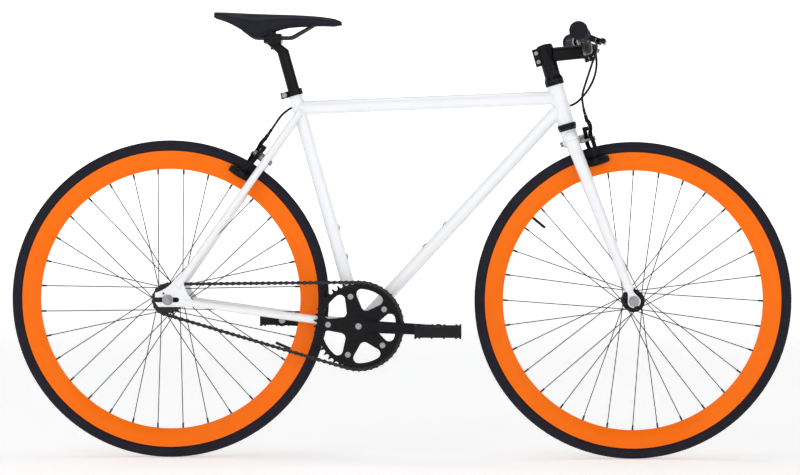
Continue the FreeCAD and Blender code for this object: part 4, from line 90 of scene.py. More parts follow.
# %% [markdown]
# Most added pieces are skins over rows of points: a tyre is rows of rings, a cable is rings along a
# line, the saddle is sections from tail to nose. One helper makes the mesh, gives it a map of rows and
# columns for its finish, and turns its faces outward. Blender's own modifiers could do some of this, but
# rows of points give full control over grooves and ribs.

# %% Skin helper
crease_angle = math.radians(42)


def skin(name, rows, loop=False, ends=(True, True)):
    """A mesh through closed rows of points. Its last row joins the first, or its ends are filled."""
    across = len(rows[0])
    row_steps = len(rows) if loop else len(rows) - 1
    faces = []
    places = []
    for row in range(row_steps):
        low = row * across
        high = (row + 1) % len(rows) * across
        for column in range(across):
            after = (column + 1) % across
            faces.append((low + column, low + after, high + after, high + column))
            left, right = column / across, (column + 1) / across
            near, far = row / row_steps, (row + 1) / row_steps
            places += [(left, near), (right, near), (right, far), (left, far)]
    last = (len(rows) - 1) * across
    for first, filled in zip((0, last), ends):
        if filled and not loop:
            faces.append(tuple(range(first, first + across)))
            places += [(0, 0)] * across
    mesh = bpy.data.meshes.new(name)
    mesh.from_pydata([tuple(point) for row in rows for point in row], [], faces)
    chart = mesh.uv_layers.new(name="rows_and_columns")
    for corner, place in zip(chart.data, places):
        corner.uv = place
    shell = bmesh.new()
    shell.from_mesh(mesh)
    bmesh.ops.recalc_face_normals(shell, faces=shell.faces)
    shell.to_mesh(mesh)
    shell.free()
    mesh.shade_smooth()
    mesh.set_sharp_from_angle(angle=crease_angle)
    piece = bpy.data.objects.new(name, mesh)
    bpy.context.scene.collection.objects.link(piece)
    return piece


def lathe(name, outline, centre, axis, steps, loop=False, ends=(True, True), relief=None):
    """A piece turned round an axis from (distance along, radius) pairs. Relief changes the radius."""
    axis = axis.normalized()
    side = axis.orthogonal().normalized()
    other = axis.cross(side)
    rows = []
    for number, (along, radius) in enumerate(outline):
        ring = []
        for step in range(steps):
            turn = math.tau * step / steps
            reach = radius + (relief(number, turn) if relief else 0)
            ring.append(centre + axis * along + (side * math.cos(turn) + other * math.sin(turn)) * reach)
        rows.append(ring)
    return skin(name, rows, loop=loop, ends=ends)


def dress(piece, body, slot, *replaced):
    """Give a piece its finish, let it ride on a body, and let it stand for the nodes it replaces."""
    piece.data.materials.append(finishes[slot])
    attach(piece, body)
    if replaced:
        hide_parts(*replaced)
    return piece


print("helpers ready")

# %% [markdown]
# Every surface of the bicycle has a finish of its own: gloss paint, satin black alloy, brushed steel,
# rubber, plastic, leather. They share a pattern. A soft noise shifts the colour between two close tones,
# another shifts the roughness, and a fine one raises a grain. Object coordinates keep the pattern fixed to
# the part when it moves. Parts with machined edges also get an edge rounded in the shading and a painted
# edge tone in noisy patches: a painted highlight on dark parts and painted shade on the white paint. Both
# are found by comparing the true normal with a bevelled one.

# %% Finish helper
finishes = {}
tone_detail = 4
polish_detail = 3
grain_detail = 2
polish_per_tone = 3
bevel_samples = 4
flat_match = 0.98
edge_match = 0.8
# Size of the noise patches of the painted edge tone, in edge radii.
edge_tone_patch_per_radius = 12


def colour_mix(tree):
    """A node that mixes two colours, with its factor, first, second and result sockets."""
    mix = tree.nodes.new("ShaderNodeMix")
    mix.data_type = "RGBA"
    sockets = {socket.identifier: socket for socket in [*mix.inputs, *mix.outputs]}
    return [sockets[name] for name in ("Factor_Float", "A_Color", "B_Color", "Result_Color")]


def new_finish(name, dark, light, tone_size, rough, grain_size, grain_height, metal=0.0, stretch=(1, 1, 1),
               shine=0.5):
    """A finish with two tones, a range of roughness and a raised grain. Sizes are in metres."""
    material = bpy.data.materials.new(name)
    material.use_nodes = True
    tree = material.node_tree
    shader = tree.nodes["Principled BSDF"]
    shader.inputs["Metallic"].default_value = metal
    shader.inputs["Specular IOR Level"].default_value = shine
    coordinates = tree.nodes.new("ShaderNodeTexCoord")
    mapping = tree.nodes.new("ShaderNodeMapping")
    mapping.inputs["Scale"].default_value = stretch
    tree.links.new(coordinates.outputs["Object"], mapping.inputs["Vector"])

    def noise(size, detail):
        cloud = tree.nodes.new("ShaderNodeTexNoise")
        cloud.inputs["Scale"].default_value = 1 / size
        cloud.inputs["Detail"].default_value = detail
        tree.links.new(mapping.outputs["Vector"], cloud.inputs["Vector"])
        return cloud.outputs["Fac"]

    share, first, second, tone = colour_mix(tree)
    first.default_value = (*dark, 1)
    second.default_value = (*light, 1)
    tree.links.new(noise(tone_size, tone_detail), share)
    tree.links.new(tone, shader.inputs["Base Color"])
    polish = tree.nodes.new("ShaderNodeMapRange")
    polish.inputs["To Min"].default_value, polish.inputs["To Max"].default_value = rough
    tree.links.new(noise(tone_size / polish_per_tone, polish_detail), polish.inputs["Value"])
    tree.links.new(polish.outputs["Result"], shader.inputs["Roughness"])
    grain = tree.nodes.new("ShaderNodeBump")
    grain.inputs["Distance"].default_value = grain_height
    tree.links.new(noise(grain_size, grain_detail), grain.inputs["Height"])
    tree.links.new(grain.outputs["Normal"], shader.inputs["Normal"])
    finishes[name] = material
    return {"tree": tree, "shader": shader, "tone": tone, "grain": grain, "noise": noise, "mapping": mapping}


def painted_edge_tone(parts, radius, colour):
    """Round the edges in the shading and paint another tone on them: a painted highlight on dark parts,
    painted shade on white paint.
    """
    tree = parts["tree"]
    bevel = tree.nodes.new("ShaderNodeBevel")
    bevel.samples = bevel_samples
    bevel.inputs["Radius"].default_value = radius
    tree.links.new(bevel.outputs["Normal"], parts["grain"].inputs["Normal"])
    geometry = tree.nodes.new("ShaderNodeNewGeometry")
    match = tree.nodes.new("ShaderNodeVectorMath")
    match.operation = "DOT_PRODUCT"
    tree.links.new(bevel.outputs["Normal"], match.inputs[0])
    tree.links.new(geometry.outputs["Normal"], match.inputs[1])
    edge = tree.nodes.new("ShaderNodeMapRange")
    edge.inputs["From Min"].default_value = flat_match
    edge.inputs["From Max"].default_value = edge_match
    tree.links.new(match.outputs["Value"], edge.inputs["Value"])
    edge_tone_share = tree.nodes.new("ShaderNodeMath")
    edge_tone_share.operation = "MULTIPLY"
    tree.links.new(edge.outputs["Result"], edge_tone_share.inputs[0])
    tree.links.new(parts["noise"](radius * edge_tone_patch_per_radius, polish_detail), edge_tone_share.inputs[1])
    share, first, second, shown = colour_mix(tree)
    second.default_value = (*colour, 1)
    tree.links.new(edge_tone_share.outputs["Value"], share)
    tree.links.new(parts["tone"], first)
    tree.links.new(shown, parts["shader"].inputs["Base Color"])


print("finish helpers ready")

# %% [markdown]
# The frame and fork are gloss white, sprayed over steel: almost even in tone, with the faint ripple of
# sprayed paint under a clear coat. The rims are painted a saturated orange. A clear coat is a setting of
# the shader itself, so it costs nothing to add.

# %% Paints
dull_shine = 0.12
paint_edge = 0.0012
paint_ripple = {"grain_size": 0.0035, "grain_height": 0.00002}
white_paint = new_finish("frame_paint", (0.86, 0.875, 0.9), (0.89, 0.9, 0.92), tone_size=0.12,
                         rough=(0.2, 0.3), **paint_ripple)
white_paint["shader"].inputs["Coat Weight"].default_value = 0.5
white_paint["shader"].inputs["Coat Roughness"].default_value = 0.06
# Painted shade: a darker bluish grey is painted on the white paint's edges.
painted_edge_tone(white_paint, paint_edge, (0.76, 0.77, 0.8))
new_finish("rim_paint", (0.92, 0.15, 0.001), (0.98, 0.175, 0.002), tone_size=0.08, rough=(0.28, 0.4),
           shine=dull_shine, **paint_ripple)
print("paints", list(finishes))

# %% [markdown]
# Black alloy is anodised: a satin, faintly blue black with a blasted grain, and a painted highlight on its
# edges. Bolts and rails are turned or drawn, so their noise is stretched into fine lines, and bright steel
# also gets a painted highlight on its edges. The chain is nearly black with oil, in patches of a few
# millimetres, and has a painted highlight on its edges.

# %% Metals
machined_edge = 0.0006
alloy_blast = {"grain_size": 0.0004, "grain_height": 0.00001}
steel_line = {"grain_size": 0.0006, "grain_height": 0.00001}
black_alloy = new_finish("black_alloy", (0.003, 0.003, 0.004), (0.008, 0.008, 0.01), tone_size=0.02,
                         rough=(0.16, 0.28), shine=dull_shine, **alloy_blast)
# Painted highlight: a lighter tone is painted on the edges of black alloy, bright steel and chain.
painted_edge_tone(black_alloy, machined_edge, (0.12, 0.12, 0.13))
bright_steel = new_finish("bright_steel", (0.22, 0.22, 0.23), (0.4, 0.4, 0.4), tone_size=0.01,
                          rough=(0.2, 0.36), metal=1.0, stretch=(1, 0.15, 1), **steel_line)
painted_edge_tone(bright_steel, machined_edge, (0.55, 0.55, 0.54))
new_finish("spoke_steel", (0.012, 0.012, 0.014), (0.03, 0.03, 0.033), tone_size=0.015, rough=(0.25, 0.4),
           metal=0.6, **steel_line)
new_finish("rail_steel", (0.018, 0.018, 0.02), (0.035, 0.035, 0.038), tone_size=0.012, rough=(0.25, 0.4),
           metal=0.6, stretch=(0.2, 1, 1), **steel_line)
chain_steel = new_finish("chain_steel", (0.01, 0.0095, 0.009), (0.05, 0.047, 0.045), tone_size=0.005,
                         rough=(0.3, 0.5), metal=0.85, **steel_line)
painted_edge_tone(chain_steel, machined_edge, (0.22, 0.21, 0.2))
print("finishes with the metals", len(finishes))

# %% [markdown]
# The tyres, grips, pedals and cables are black too, yet each scatters light its own way: rubber is dull
# and dusty, and moulded plastic has an even pebble grain. The same helper makes them all, with other tones,
# roughness and grain, so they stay easy to compare.

# %% Rubbers and plastics
dust = {"grain_size": 0.0009, "grain_height": 0.00006, "shine": dull_shine}
pebble = {"grain_size": 0.0011, "grain_height": 0.00008, "shine": dull_shine}
fine_pebble = {"grain_size": 0.0009, "grain_height": 0.00002, "shine": dull_shine}
new_finish("tyre_rubber", (0.0105, 0.0095, 0.016), (0.02, 0.018, 0.028), tone_size=0.03, rough=(0.6, 0.8),
           **dust)
new_finish("tube_rubber", (0.012, 0.012, 0.013), (0.02, 0.02, 0.021), tone_size=0.02, rough=(0.55, 0.75),
           **dust)
new_finish("grip_rubber", (0.008, 0.008, 0.011), (0.015, 0.015, 0.02), tone_size=0.012, rough=(0.5, 0.7),
           **dust)
pedal_plastic = new_finish("pedal_plastic", (0.009, 0.009, 0.011), (0.017, 0.017, 0.02), tone_size=0.014,
                           rough=(0.42, 0.58), **pebble)
# Painted highlight: a lighter tone is painted on the pedal plastic's edges.
painted_edge_tone(pedal_plastic, machined_edge, (0.05, 0.05, 0.052))
new_finish("saddle_plastic", (0.009, 0.009, 0.011), (0.016, 0.016, 0.019), tone_size=0.016,
           rough=(0.45, 0.6), **pebble)
new_finish("cable_plastic", (0.008, 0.008, 0.01), (0.014, 0.014, 0.017), tone_size=0.01, rough=(0.3, 0.42),
           **fine_pebble)
print("finishes with rubbers and plastics", len(finishes))

# %% [markdown]
# Saddle leather is pressed into small cells with creases between them. Noise alone looks like sand. A
# Voronoi pattern splits space into cells round scattered points, and the distance to the nearest cell
# edge draws the creases under the noise.

# %% Leather
leather_grain = 0.0014
leather_grain_height = 0.00014
leather = new_finish("saddle_leather", (0.009, 0.009, 0.016), (0.017, 0.017, 0.028), tone_size=0.02,
                     rough=(0.36, 0.55), grain_size=leather_grain, grain_height=leather_grain_height,
                     shine=dull_shine)
leather_tree = leather["tree"]
cells = leather_tree.nodes.new("ShaderNodeTexVoronoi")
cells.feature = "DISTANCE_TO_EDGE"
cells.inputs["Scale"].default_value = 1 / leather_grain
creases = leather_tree.nodes.new("ShaderNodeBump")
creases.inputs["Distance"].default_value = leather_grain_height
leather_tree.links.new(leather["mapping"].outputs["Vector"], cells.inputs["Vector"])
leather_tree.links.new(cells.outputs["Distance"], creases.inputs["Height"])
leather_tree.links.new(creases.outputs["Normal"], leather["grain"].inputs["Normal"])
print("finishes", len(finishes))

# %% [markdown]
# The record names a material slot for each part. Assigning by slot keeps the picture and the record in
# step, and no part is missed.

# %% Finishes on the parts
for entry in frame["record"]["subparts"]:
    part = nodes[entry["node"]]
    part.data.materials.clear()
    part.data.materials.append(finishes[entry["material_slot"]])

# %% [markdown]
# Two brake cables run in black plastic casing. The front one drops from the lever on the drive side to the
# front caliper. The rear one loops from the other lever to a small guide on the top tube, then follows the
# tube to the rear caliper. A smooth curve through a few control points is the natural way to draw a casing,
# because it bends evenly like the real one. The rear loop crosses the steering, so it is a piece of its own,
# fixed to neither body.

# %% Cable helper
casing_radius = 0.0025
casing_steps = 14
casing_sides = 16


def cable_line(name, points):
    """A smooth spline whose control points are the cable's route, read back as a list of points."""
    curve = bpy.data.curves.new(name, "CURVE")
    curve.dimensions = "3D"
    curve.resolution_u = casing_steps
    spline = curve.splines.new("NURBS")
    spline.points.add(len(points) - 1)
    for control, point in zip(spline.points, points):
        control.co = (*point, 1)
    spline.order_u = 3
    spline.use_endpoint_u = True
    drawn = bpy.data.objects.new(name, curve)
    line = [vertex.co.copy() for vertex in bpy.data.meshes.new_from_object(drawn).vertices]
    bpy.data.objects.remove(drawn)
    return line


def tube_rows(line, radii, steps, closed=False):
    """Rings of points round a line, one for each of its points."""
    rows = []
    count = len(line)
    turns = [math.tau * step / steps for step in range(steps)]
    side = (line[1] - line[0]).orthogonal().normalized()
    for number, point in enumerate(line):
        before = line[(number - 1) % count] if closed or number else point
        after = line[(number + 1) % count] if closed or number < count - 1 else point
        tangent = (after - before).normalized()
        side = (side - tangent * side.dot(tangent)).normalized()
        other = tangent.cross(side)
        rows.append([point + (side * math.cos(turn) + other * math.sin(turn)) * radii[number]
                     for turn in turns])
    return rows


ferrule_radius = 0.0033
ferrule_length = 0.013
ferrule_groove = 0.0005
ferrule_sides = 24


def ferrule(name, tip, inward, body):
    """The turned metal cap on the end of a casing, with a crimped groove."""
    groove = ferrule_radius - ferrule_groove
    outline = [(0, groove), (ferrule_groove, ferrule_radius), (ferrule_length / 3, ferrule_radius),
               (ferrule_length / 2, groove), (ferrule_length * 2 / 3, ferrule_radius),
               (ferrule_length - ferrule_groove, ferrule_radius), (ferrule_length, groove)]
    return dress(lathe(name, outline, tip, inward, ferrule_sides), body, "black_alloy")


print("cable helpers ready")

# %% [markdown]
# Each route is a short list of given points, the same as in the solid model, from the lever to the caliper.
# The two levers mirror each other, so the drive side's points come from the other side's. A turned cap
# closes a casing where it enters a lever or a caliper.

# %% Cables
lever_end = Vector((0.40758, 0.12709, 0.88892))
lever_lead = Vector((0.41058, 0.09926, 0.88822))
mirror = Vector((1, -1, 1))
first_guide = Vector((0.2783, 0.0178, 0.76957))
last_guide = Vector((-0.16927, 0.0178, 0.75005))
front_stop = Vector((0.39001, -0.033, 0.73487))
rear_stop = Vector((-0.28877, 0.033, 0.69193))
front_route = [lever_end * mirror, lever_lead * mirror, Vector((0.413, -0.066, 0.872)),
               Vector((0.402, -0.047, 0.838)), Vector((0.389, -0.038, 0.798)),
               Vector((0.38052, -0.033, 0.76752)), front_stop]
loop_route = [lever_end, lever_lead, Vector((0.416, 0.064, 0.868)), Vector((0.417, 0.047, 0.838)),
              Vector((0.409, 0.038, 0.808)), Vector((0.392, 0.032, 0.78)), Vector((0.368, 0.028, 0.756)),
              Vector((0.338, 0.025, 0.752)), Vector((0.30228, 0.0178, 0.77061)), first_guide]
rear_route = [first_guide, last_guide, Vector((-0.21323, 0.0238, 0.74814)), Vector((-0.232, 0.029, 0.754)),
              Vector((-0.259, 0.033, 0.736)), Vector((-0.27625, 0.033, 0.71003)), rear_stop]


def casing(name, route):
    """A round casing along a route."""
    line = cable_line(name, route)
    length = sum((after - before).length for before, after in zip(line, line[1:]))
    print(name, "length", round(length, 3))
    return skin(name, tube_rows(line, [casing_radius] * len(line), casing_sides))


dress(casing("front_casing", front_route), "steering", "cable_plastic", "front_brake_cable")
dress(casing("rear_casing", rear_route), "frame", "cable_plastic", "rear_brake_cable")
rear_loop = casing("rear_loop_casing", loop_route)
rear_loop.data.materials.append(finishes["cable_plastic"])
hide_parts("rear_cable_loop")
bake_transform(rear_loop)
ferrule("front_lever_ferrule", front_route[0], front_route[1] - front_route[0], "steering")
ferrule("rear_lever_ferrule", loop_route[0], loop_route[1] - loop_route[0], "steering")
ferrule("front_stop_ferrule", front_stop, front_route[-2] - front_stop, "steering")
ferrule("rear_stop_ferrule", rear_stop, rear_route[-2] - rear_stop, "frame")

# %% [markdown]
# The tyres are slim road tyres. A plain ring would do from afar, but a real one has a slick crown, fine
# grooves beside it and moulded lines on its walls. The section is drawn once, with the grooves cut into
# it, and turned round the axle.

# %% Tyres
to_left = Vector((0, 1, 0))
axle_height = 0.339
axle_reach = 0.4945
tyre_radius = 0.339
tyre_half = 0.0125
tyre_wall = 0.002
bead_half = 0.0078
bead_foot = 0.3127
groove_depth = 0.0005
groove_width = 0.05
groove_turns = (0.32, 0.62)
wall_line_turn = 1.25
wall_line_depth = 0.0003
tyre_section_steps = 180
tyre_inside_steps = 45
tyre_ring_steps = 220


def tyre_section():
    """The tyre's outside from bead to bead with its grooves, then back along the inside."""
    middle = tyre_radius - tyre_half
    limit = math.pi - math.asin(bead_half / tyre_half)
    outline = [(-bead_half, bead_foot)]
    for step in range(tyre_section_steps + 1):
        turn = limit * (2 * step / tyre_section_steps - 1)
        reach = tyre_half
        for groove in groove_turns:
            if abs(abs(turn) - groove) < groove_width:
                reach -= groove_depth
        if abs(abs(turn) - wall_line_turn) < groove_width:
            reach -= wall_line_depth
        outline.append((reach * math.sin(turn), middle + reach * math.cos(turn)))
    outline.append((bead_half, bead_foot))
    inner = tyre_half - tyre_wall
    inner_bead = bead_half - tyre_wall
    inner_limit = math.pi - math.asin(inner_bead / inner)
    outline.append((inner_bead, bead_foot))
    for step in range(tyre_inside_steps + 1):
        turn = inner_limit * (1 - 2 * step / tyre_inside_steps)
        outline.append((inner * math.sin(turn), middle + inner * math.cos(turn)))
    outline.append((-inner_bead, bead_foot))
    return outline


wheel_bodies = {"front": ("front_wheel", axle_reach), "rear": ("rear_wheel", -axle_reach)}
for end, (body, reach) in wheel_bodies.items():
    hub_middle = Vector((reach, 0, axle_height))
    tyre = lathe(f"{end}_road_tyre", tyre_section(), hub_middle, to_left, tyre_ring_steps, loop=True)
    dress(tyre, body, "tyre_rubber", f"{end}_tyre")
    print(tyre.name, "points", len(tyre.data.vertices))

# %% [markdown]
# The grips are rubber sleeves with a flange at the bar's end. Ribs run round them, broken by
# lengthwise gaps, so a hand does not slip. The pattern is a change of radius along and round the sleeve,
# and the flat end has a shallow dish with a raised rim.

# %% Grips
grip_end = Vector((0.36807, 0.286, 0.90192))
grip_axis = Vector((-0.10711, 0.99394, 0.02479))
grip_length = 0.125
grip_bore = 0.0112
grip_radius = 0.0155
grip_flange = 0.004
grip_flange_radius = 0.0195
grip_cap = 0.003
grip_edge = 0.0012
grip_dish = 0.001
grip_sides = 96
rib_pitch = 0.005
rib_depth = 0.0009
rib_samples = 6
rib_gaps = 6
rib_gap_share = 0.12


def grip_outline():
    """Distance from the inner end and radius, with samples close enough to carry the ribs."""
    lip = grip_length - grip_flange
    tip = grip_length + grip_cap
    outline = [(0, grip_bore), (0, grip_radius - grip_edge), (grip_edge, grip_radius)]
    samples = int(lip / rib_pitch) * rib_samples
    sleeve_length = lip - 2 * grip_edge
    outline += [(grip_edge + sleeve_length * step / samples, grip_radius) for step in range(1, samples)]
    outline += [(lip - grip_edge, grip_radius), (lip, grip_radius + grip_edge),
                (lip, grip_flange_radius - grip_edge), (lip + grip_edge, grip_flange_radius),
                (tip - grip_edge, grip_flange_radius), (tip, grip_flange_radius - grip_edge),
                (tip, grip_radius - grip_edge), (tip - grip_dish, grip_radius - 2 * grip_edge),
                (tip - grip_dish, grip_edge)]
    return outline


def grip_relief(outline):
    """Ribs on the sleeve, none on the flange."""
    lip = grip_length - grip_flange - rib_pitch

    def relief(number, turn):
        along, radius = outline[number]
        if radius != grip_radius or along < rib_pitch or along > lip:
            return 0
        wave = (1 - math.cos(math.tau * along / rib_pitch)) / 2
        place = turn / math.tau * rib_gaps % 1
        in_gap = min(place, 1 - place) < rib_gap_share
        return -rib_depth * (1 if in_gap else wave)

    return relief


sleeve = grip_outline()
for name, side in (("left_grip", Vector((1, 1, 1))), ("right_grip", mirror)):
    axis = grip_axis * side
    start = grip_end * side - axis * grip_length
    grip = lathe(name, sleeve, start, axis, grip_sides, relief=grip_relief(sleeve))
    dress(grip, "steering", "grip_rubber", "grips")
print("grip points", len(grip.data.vertices))

# %% [markdown]
# The saddle is a slim foam pad over a moulded base, covered in black leather that is pulled tight and
# turned under at the edge. It could be blown up from a flat pattern with a cloth simulation, but a firm
# saddle keeps its moulded form, so it is skinned over sections from tail to nose. Each section goes over
# the crown from edge to edge and back along the underside of the pad.

# %% Saddle sections
saddle_tail = -0.4
saddle_length = 0.27
saddle_half = 0.067
saddle_bottom = 0.897
saddle_depth = 0.055
pad_side = 0.0046
pad_top = 0.0076
saddle_shares = (
    (0.0, 0.56, 1.0, 0.76), (0.1, 0.88, 0.985, 0.6), (0.22, 1.0, 0.96, 0.28), (0.33, 0.86, 0.94, 0.0),
    (0.46, 0.6, 0.92, 0.26), (0.62, 0.41, 0.9, 0.44), (0.8, 0.3, 0.85, 0.48), (0.94, 0.24, 0.76, 0.46),
    (1.0, 0.14, 0.65, 0.5),
)
edge_in_share = 0.86
bulge_share = 0.42
shoulder_share = 0.72
shoulder_in_share = 0.9
hollow_start_share = 0.11
hollow_end_share = 0.93
seam_share = 0.6
seam_width_share = 0.035
seam_above_share = 0.5
seam_depth = 0.0008
section_count = 72
arc_steps = 14
crown_steps = 40


def smooth_row(place):
    """Half width, crown and lower edge at a place along the saddle, eased between the given rows."""
    number = max(index for index, row in enumerate(saddle_shares[:-1]) if row[0] <= place)
    low, high = saddle_shares[number], saddle_shares[number + 1]
    before = saddle_shares[max(number - 1, 0)]
    after = saddle_shares[min(number + 2, len(saddle_shares) - 1)]
    span = high[0] - low[0]
    share = (place - low[0]) / span
    values = []
    for column in (1, 2, 3):
        start_slope = (high[column] - before[column]) / (high[0] - before[0]) * span
        end_slope = (after[column] - low[column]) / (after[0] - low[0]) * span
        square, cube = share ** 2, share ** 3
        values.append((2 * cube - 3 * square + 1) * low[column] + (cube - 2 * square + share) * start_slope
                      + (3 * square - 2 * cube) * high[column] + (cube - square) * end_slope)
    return values


def through(first, middle, last, share):
    """A point on the parabola through three points."""
    return [a * (1 - share) * (1 - 2 * share) + 4 * b * share * (1 - share) + c * share * (2 * share - 1)
            for a, b, c in zip(first, middle, last)]


def over_the_crown():
    """Places across and up one section, from one lower edge to the other."""
    left = [(-edge_in_share, 0), (-1, bulge_share), (-shoulder_in_share, shoulder_share)]
    crown = [left[-1], (0, 1), (shoulder_in_share, shoulder_share)]
    right = [crown[-1], (1, bulge_share), (edge_in_share, 0)]
    places = []
    for corners, steps in ((left, arc_steps), (crown, crown_steps), (right, arc_steps)):
        places += [through(*corners, step / steps) for step in range(steps)]
    return places + [[edge_in_share, 0]]


def saddle_sizes(place):
    """Where a section stands, its half width, its lower edge and how far it rises to the crown."""
    wide, crown, edge = smooth_row(place)
    low = saddle_bottom + saddle_depth * edge
    rise = saddle_bottom + saddle_depth * crown - low
    return saddle_tail + saddle_length * place, saddle_half * wide, low, rise


def seam_dip(across, up):
    """How far the leather is drawn in along the two seams on the top."""
    if up <= seam_above_share:
        return 0
    return seam_depth * math.exp(-((abs(across) - seam_share) / seam_width_share) ** 2)


def saddle_section(place):
    """One closed section: the outside over the crown, then the hollow underside back again."""
    x, half, low, rise = saddle_sizes(place)
    inner_half = max(half - pad_side, half / 2)
    hollow = 1 if hollow_start_share < place < hollow_end_share else 0
    outside = []
    inside = []
    for across, up in over_the_crown():
        outside.append(Vector((x, half * across, low + rise * up - seam_dip(across, up))))
        inside.append(Vector((x, inner_half * across, low + max(rise * up - pad_top, 0) * hollow)))
    return outside + inside[::-1]


print("points in a saddle section", len(saddle_section(0)))

# %% [markdown]
# The cover is one closed skin through evenly spaced sections. It stands for the plain solid of the saddle
# cover, and foam fills most of it.

# %% Saddle cover
places = [step / (section_count - 1) for step in range(section_count)]
saddle_pad = skin("saddle_pad", [saddle_section(place) for place in places])
dress(saddle_pad, "saddle", "saddle_leather", "saddle_cover")
print("saddle pad", saddle_pad.dimensions)

# %% [markdown]
# A line of piping closes the cover's lower edge, and two rows of stitches hold the side panels to the
# top. Each stitch is a short bar of thread that dips into the leather at both ends. All stitches share
# one mesh, which keeps the scene light.

# %% Piping and stitches
piping_radius = 0.0013
piping_sides = 10
piping_inset_share = 0.9
piping_lift_share = 0.04
stitch_pitch = 0.0052
stitch_length = 0.0034
stitch_radius = 0.00035
stitch_lift = 0.0001
stitch_sides = 8
stitch_place_shares = (-1, -0.5, 0.5, 1)
stitch_radius_shares = (0.4, 1, 1, 0.4)


def edge_point(place, side):
    """A point of the piping, just above the cover's lower edge."""
    x, half, low, _ = saddle_sizes(place)
    return Vector((x, half * side * piping_inset_share, low + saddle_depth * piping_lift_share))


edge_line = [edge_point(place, 1) for place in places]
edge_line += [edge_point(place, -1) for place in reversed(places)]
piping_rows = tube_rows(edge_line, [piping_radius] * len(edge_line), piping_sides, closed=True)
piping = skin("saddle_piping", piping_rows, loop=True)
dress(piping, "saddle", "saddle_leather")


def seam_point(place, side):
    """A point in the middle of one seam, at the height of its stitches."""
    x, half, low, rise = saddle_sizes(place)
    up = 1 - (1 - shoulder_share) * (seam_share / shoulder_in_share) ** 2
    return Vector((x, half * side * seam_share, low + rise * up - seam_depth + stitch_lift))


def stitches(side):
    """The rows of points of each stitch along one seam."""
    groups = []
    count = int(saddle_length * (hollow_end_share - hollow_start_share) / stitch_pitch)
    half_share = stitch_length / saddle_length / 2
    for number in range(count):
        middle = hollow_start_share + (number + 0.5) * stitch_pitch / saddle_length
        line = [seam_point(middle + half_share * share, side) for share in stitch_place_shares]
        line[0].z -= stitch_radius
        line[-1].z -= stitch_radius
        radii = [stitch_radius * share for share in stitch_radius_shares]
        groups.append(tube_rows(line, radii, stitch_sides))
    return groups


def joined(name, groups):
    """Several skins in one mesh."""
    parts = [skin(f"{name}_{number}", rows) for number, rows in enumerate(groups)]
    whole = bmesh.new()
    for part in parts:
        whole.from_mesh(part.data)
        bpy.data.meshes.remove(part.data)
    mesh = bpy.data.meshes.new(name)
    whole.to_mesh(mesh)
    whole.free()
    mesh.shade_smooth()
    piece = bpy.data.objects.new(name, mesh)
    bpy.context.scene.collection.objects.link(piece)
    return piece


thread = joined("saddle_stitches", stitches(1) + stitches(-1))
dress(thread, "saddle", "saddle_leather")
print("stitch points", len(thread.data.vertices))

# %% [markdown]
# The steel tubes are welded, and under the paint each joint shows a rippled bead. A bead follows the
# line where one round tube meets another. That line comes from a quadratic: slide each point of the
# tube's circle along the tube until it is one radius from the other tube's axis. The bead is a thin
# closed tube on that line, with ripples in its radius.

# %% Weld beads
bead_radius = 0.0021
bead_ripple_share = 0.14
bead_ripples = 40
bead_steps = 200
bead_sides = 10
seat_axis = Vector((-0.27228, 0, 0.96222))
head_axis = Vector((-0.27899, 0, 0.96029))
crank_middle = Vector((-0.089984, 0, 0.284))
head_foot = Vector((0.46281, 0, 0.329793))
top_rear = Vector((-0.22122, 0, 0.74779))
top_front = Vector((0.33433, 0, 0.77201))
down_front = Vector((0.34005, 0, 0.75232))
seat_top = Vector((-0.23184, 0, 0.78532))
frame_tube_radius = 0.0143
head_tube_radius = 0.018
shell_radius = 0.02


def weld(name, root, far, main_point, main_axis, main_radius):
    """A bead where a tube from root to far leaves a round main tube."""
    along = (far - root).normalized()
    side = along.orthogonal().normalized()
    other = along.cross(side)
    line = []
    for step in range(bead_steps):
        turn = math.tau * step / bead_steps
        start = root + (side * math.cos(turn) + other * math.sin(turn)) * frame_tube_radius - main_point
        start_flat = start - main_axis * start.dot(main_axis)
        along_flat = along - main_axis * along.dot(main_axis)
        square = along_flat.dot(along_flat)
        half = start_flat.dot(along_flat)
        rest = start_flat.dot(start_flat) - main_radius ** 2
        slide = (-half + math.sqrt(max(half ** 2 - square * rest, 0))) / square
        line.append(main_point + start + along * slide)
    ripple = [bead_radius * (1 + bead_ripple_share * math.sin(math.tau * bead_ripples * step / bead_steps))
              for step in range(bead_steps)]
    bead = skin(name, tube_rows(line, ripple, bead_sides, closed=True), loop=True)
    return dress(bead, "frame", "frame_paint")


weld("top_tube_head_weld", top_front, top_rear, head_foot, head_axis, head_tube_radius)
weld("down_tube_head_weld", down_front, crank_middle, head_foot, head_axis, head_tube_radius)
weld("top_tube_seat_weld", top_rear, top_front, crank_middle, seat_axis, frame_tube_radius)
weld("down_tube_shell_weld", crank_middle, down_front, crank_middle, to_left, shell_radius)
weld("seat_tube_shell_weld", crank_middle, seat_top, crank_middle, to_left, shell_radius)
print("weld beads on five joints")

# %% [markdown]
# Each brake pad sits in a holder shaped like a small boat, thick in the middle and thin at both ends. It
# lies along the rim, so it is built from sections set square to the rim at the pad. It rides on the
# caliper arm that carries the pad, and stays a little further from the rim than the pad's own face.

# %% Brake shoes
shoe_half_length = 0.029
shoe_height = 0.019
shoe_depth = 0.0115
shoe_face = 0.0124
shoe_end_share = 0.94
shoe_thin_share = 0.45
shoe_rows = 25
shoe_turns = 17
pad_places = {"front": Vector((0.41359, 0, 0.63575)), "rear": Vector((-0.342, 0, 0.60611))}


def shoe_section(middle, along, outward, side, share):
    """One D-shaped section of the holder, its flat face towards the rim."""
    fullness = math.sqrt(1 - (share * shoe_end_share) ** 2)
    size = shoe_thin_share + (1 - shoe_thin_share) * fullness
    centre = middle + along * (share * shoe_half_length) + side * shoe_face
    points = []
    for step in range(shoe_turns):
        turn = math.pi * step / (shoe_turns - 1)
        up = shoe_height / 2 * size * math.cos(turn)
        out = shoe_depth * size * math.sin(turn)
        points.append(centre + outward * up + side * out)
    return points


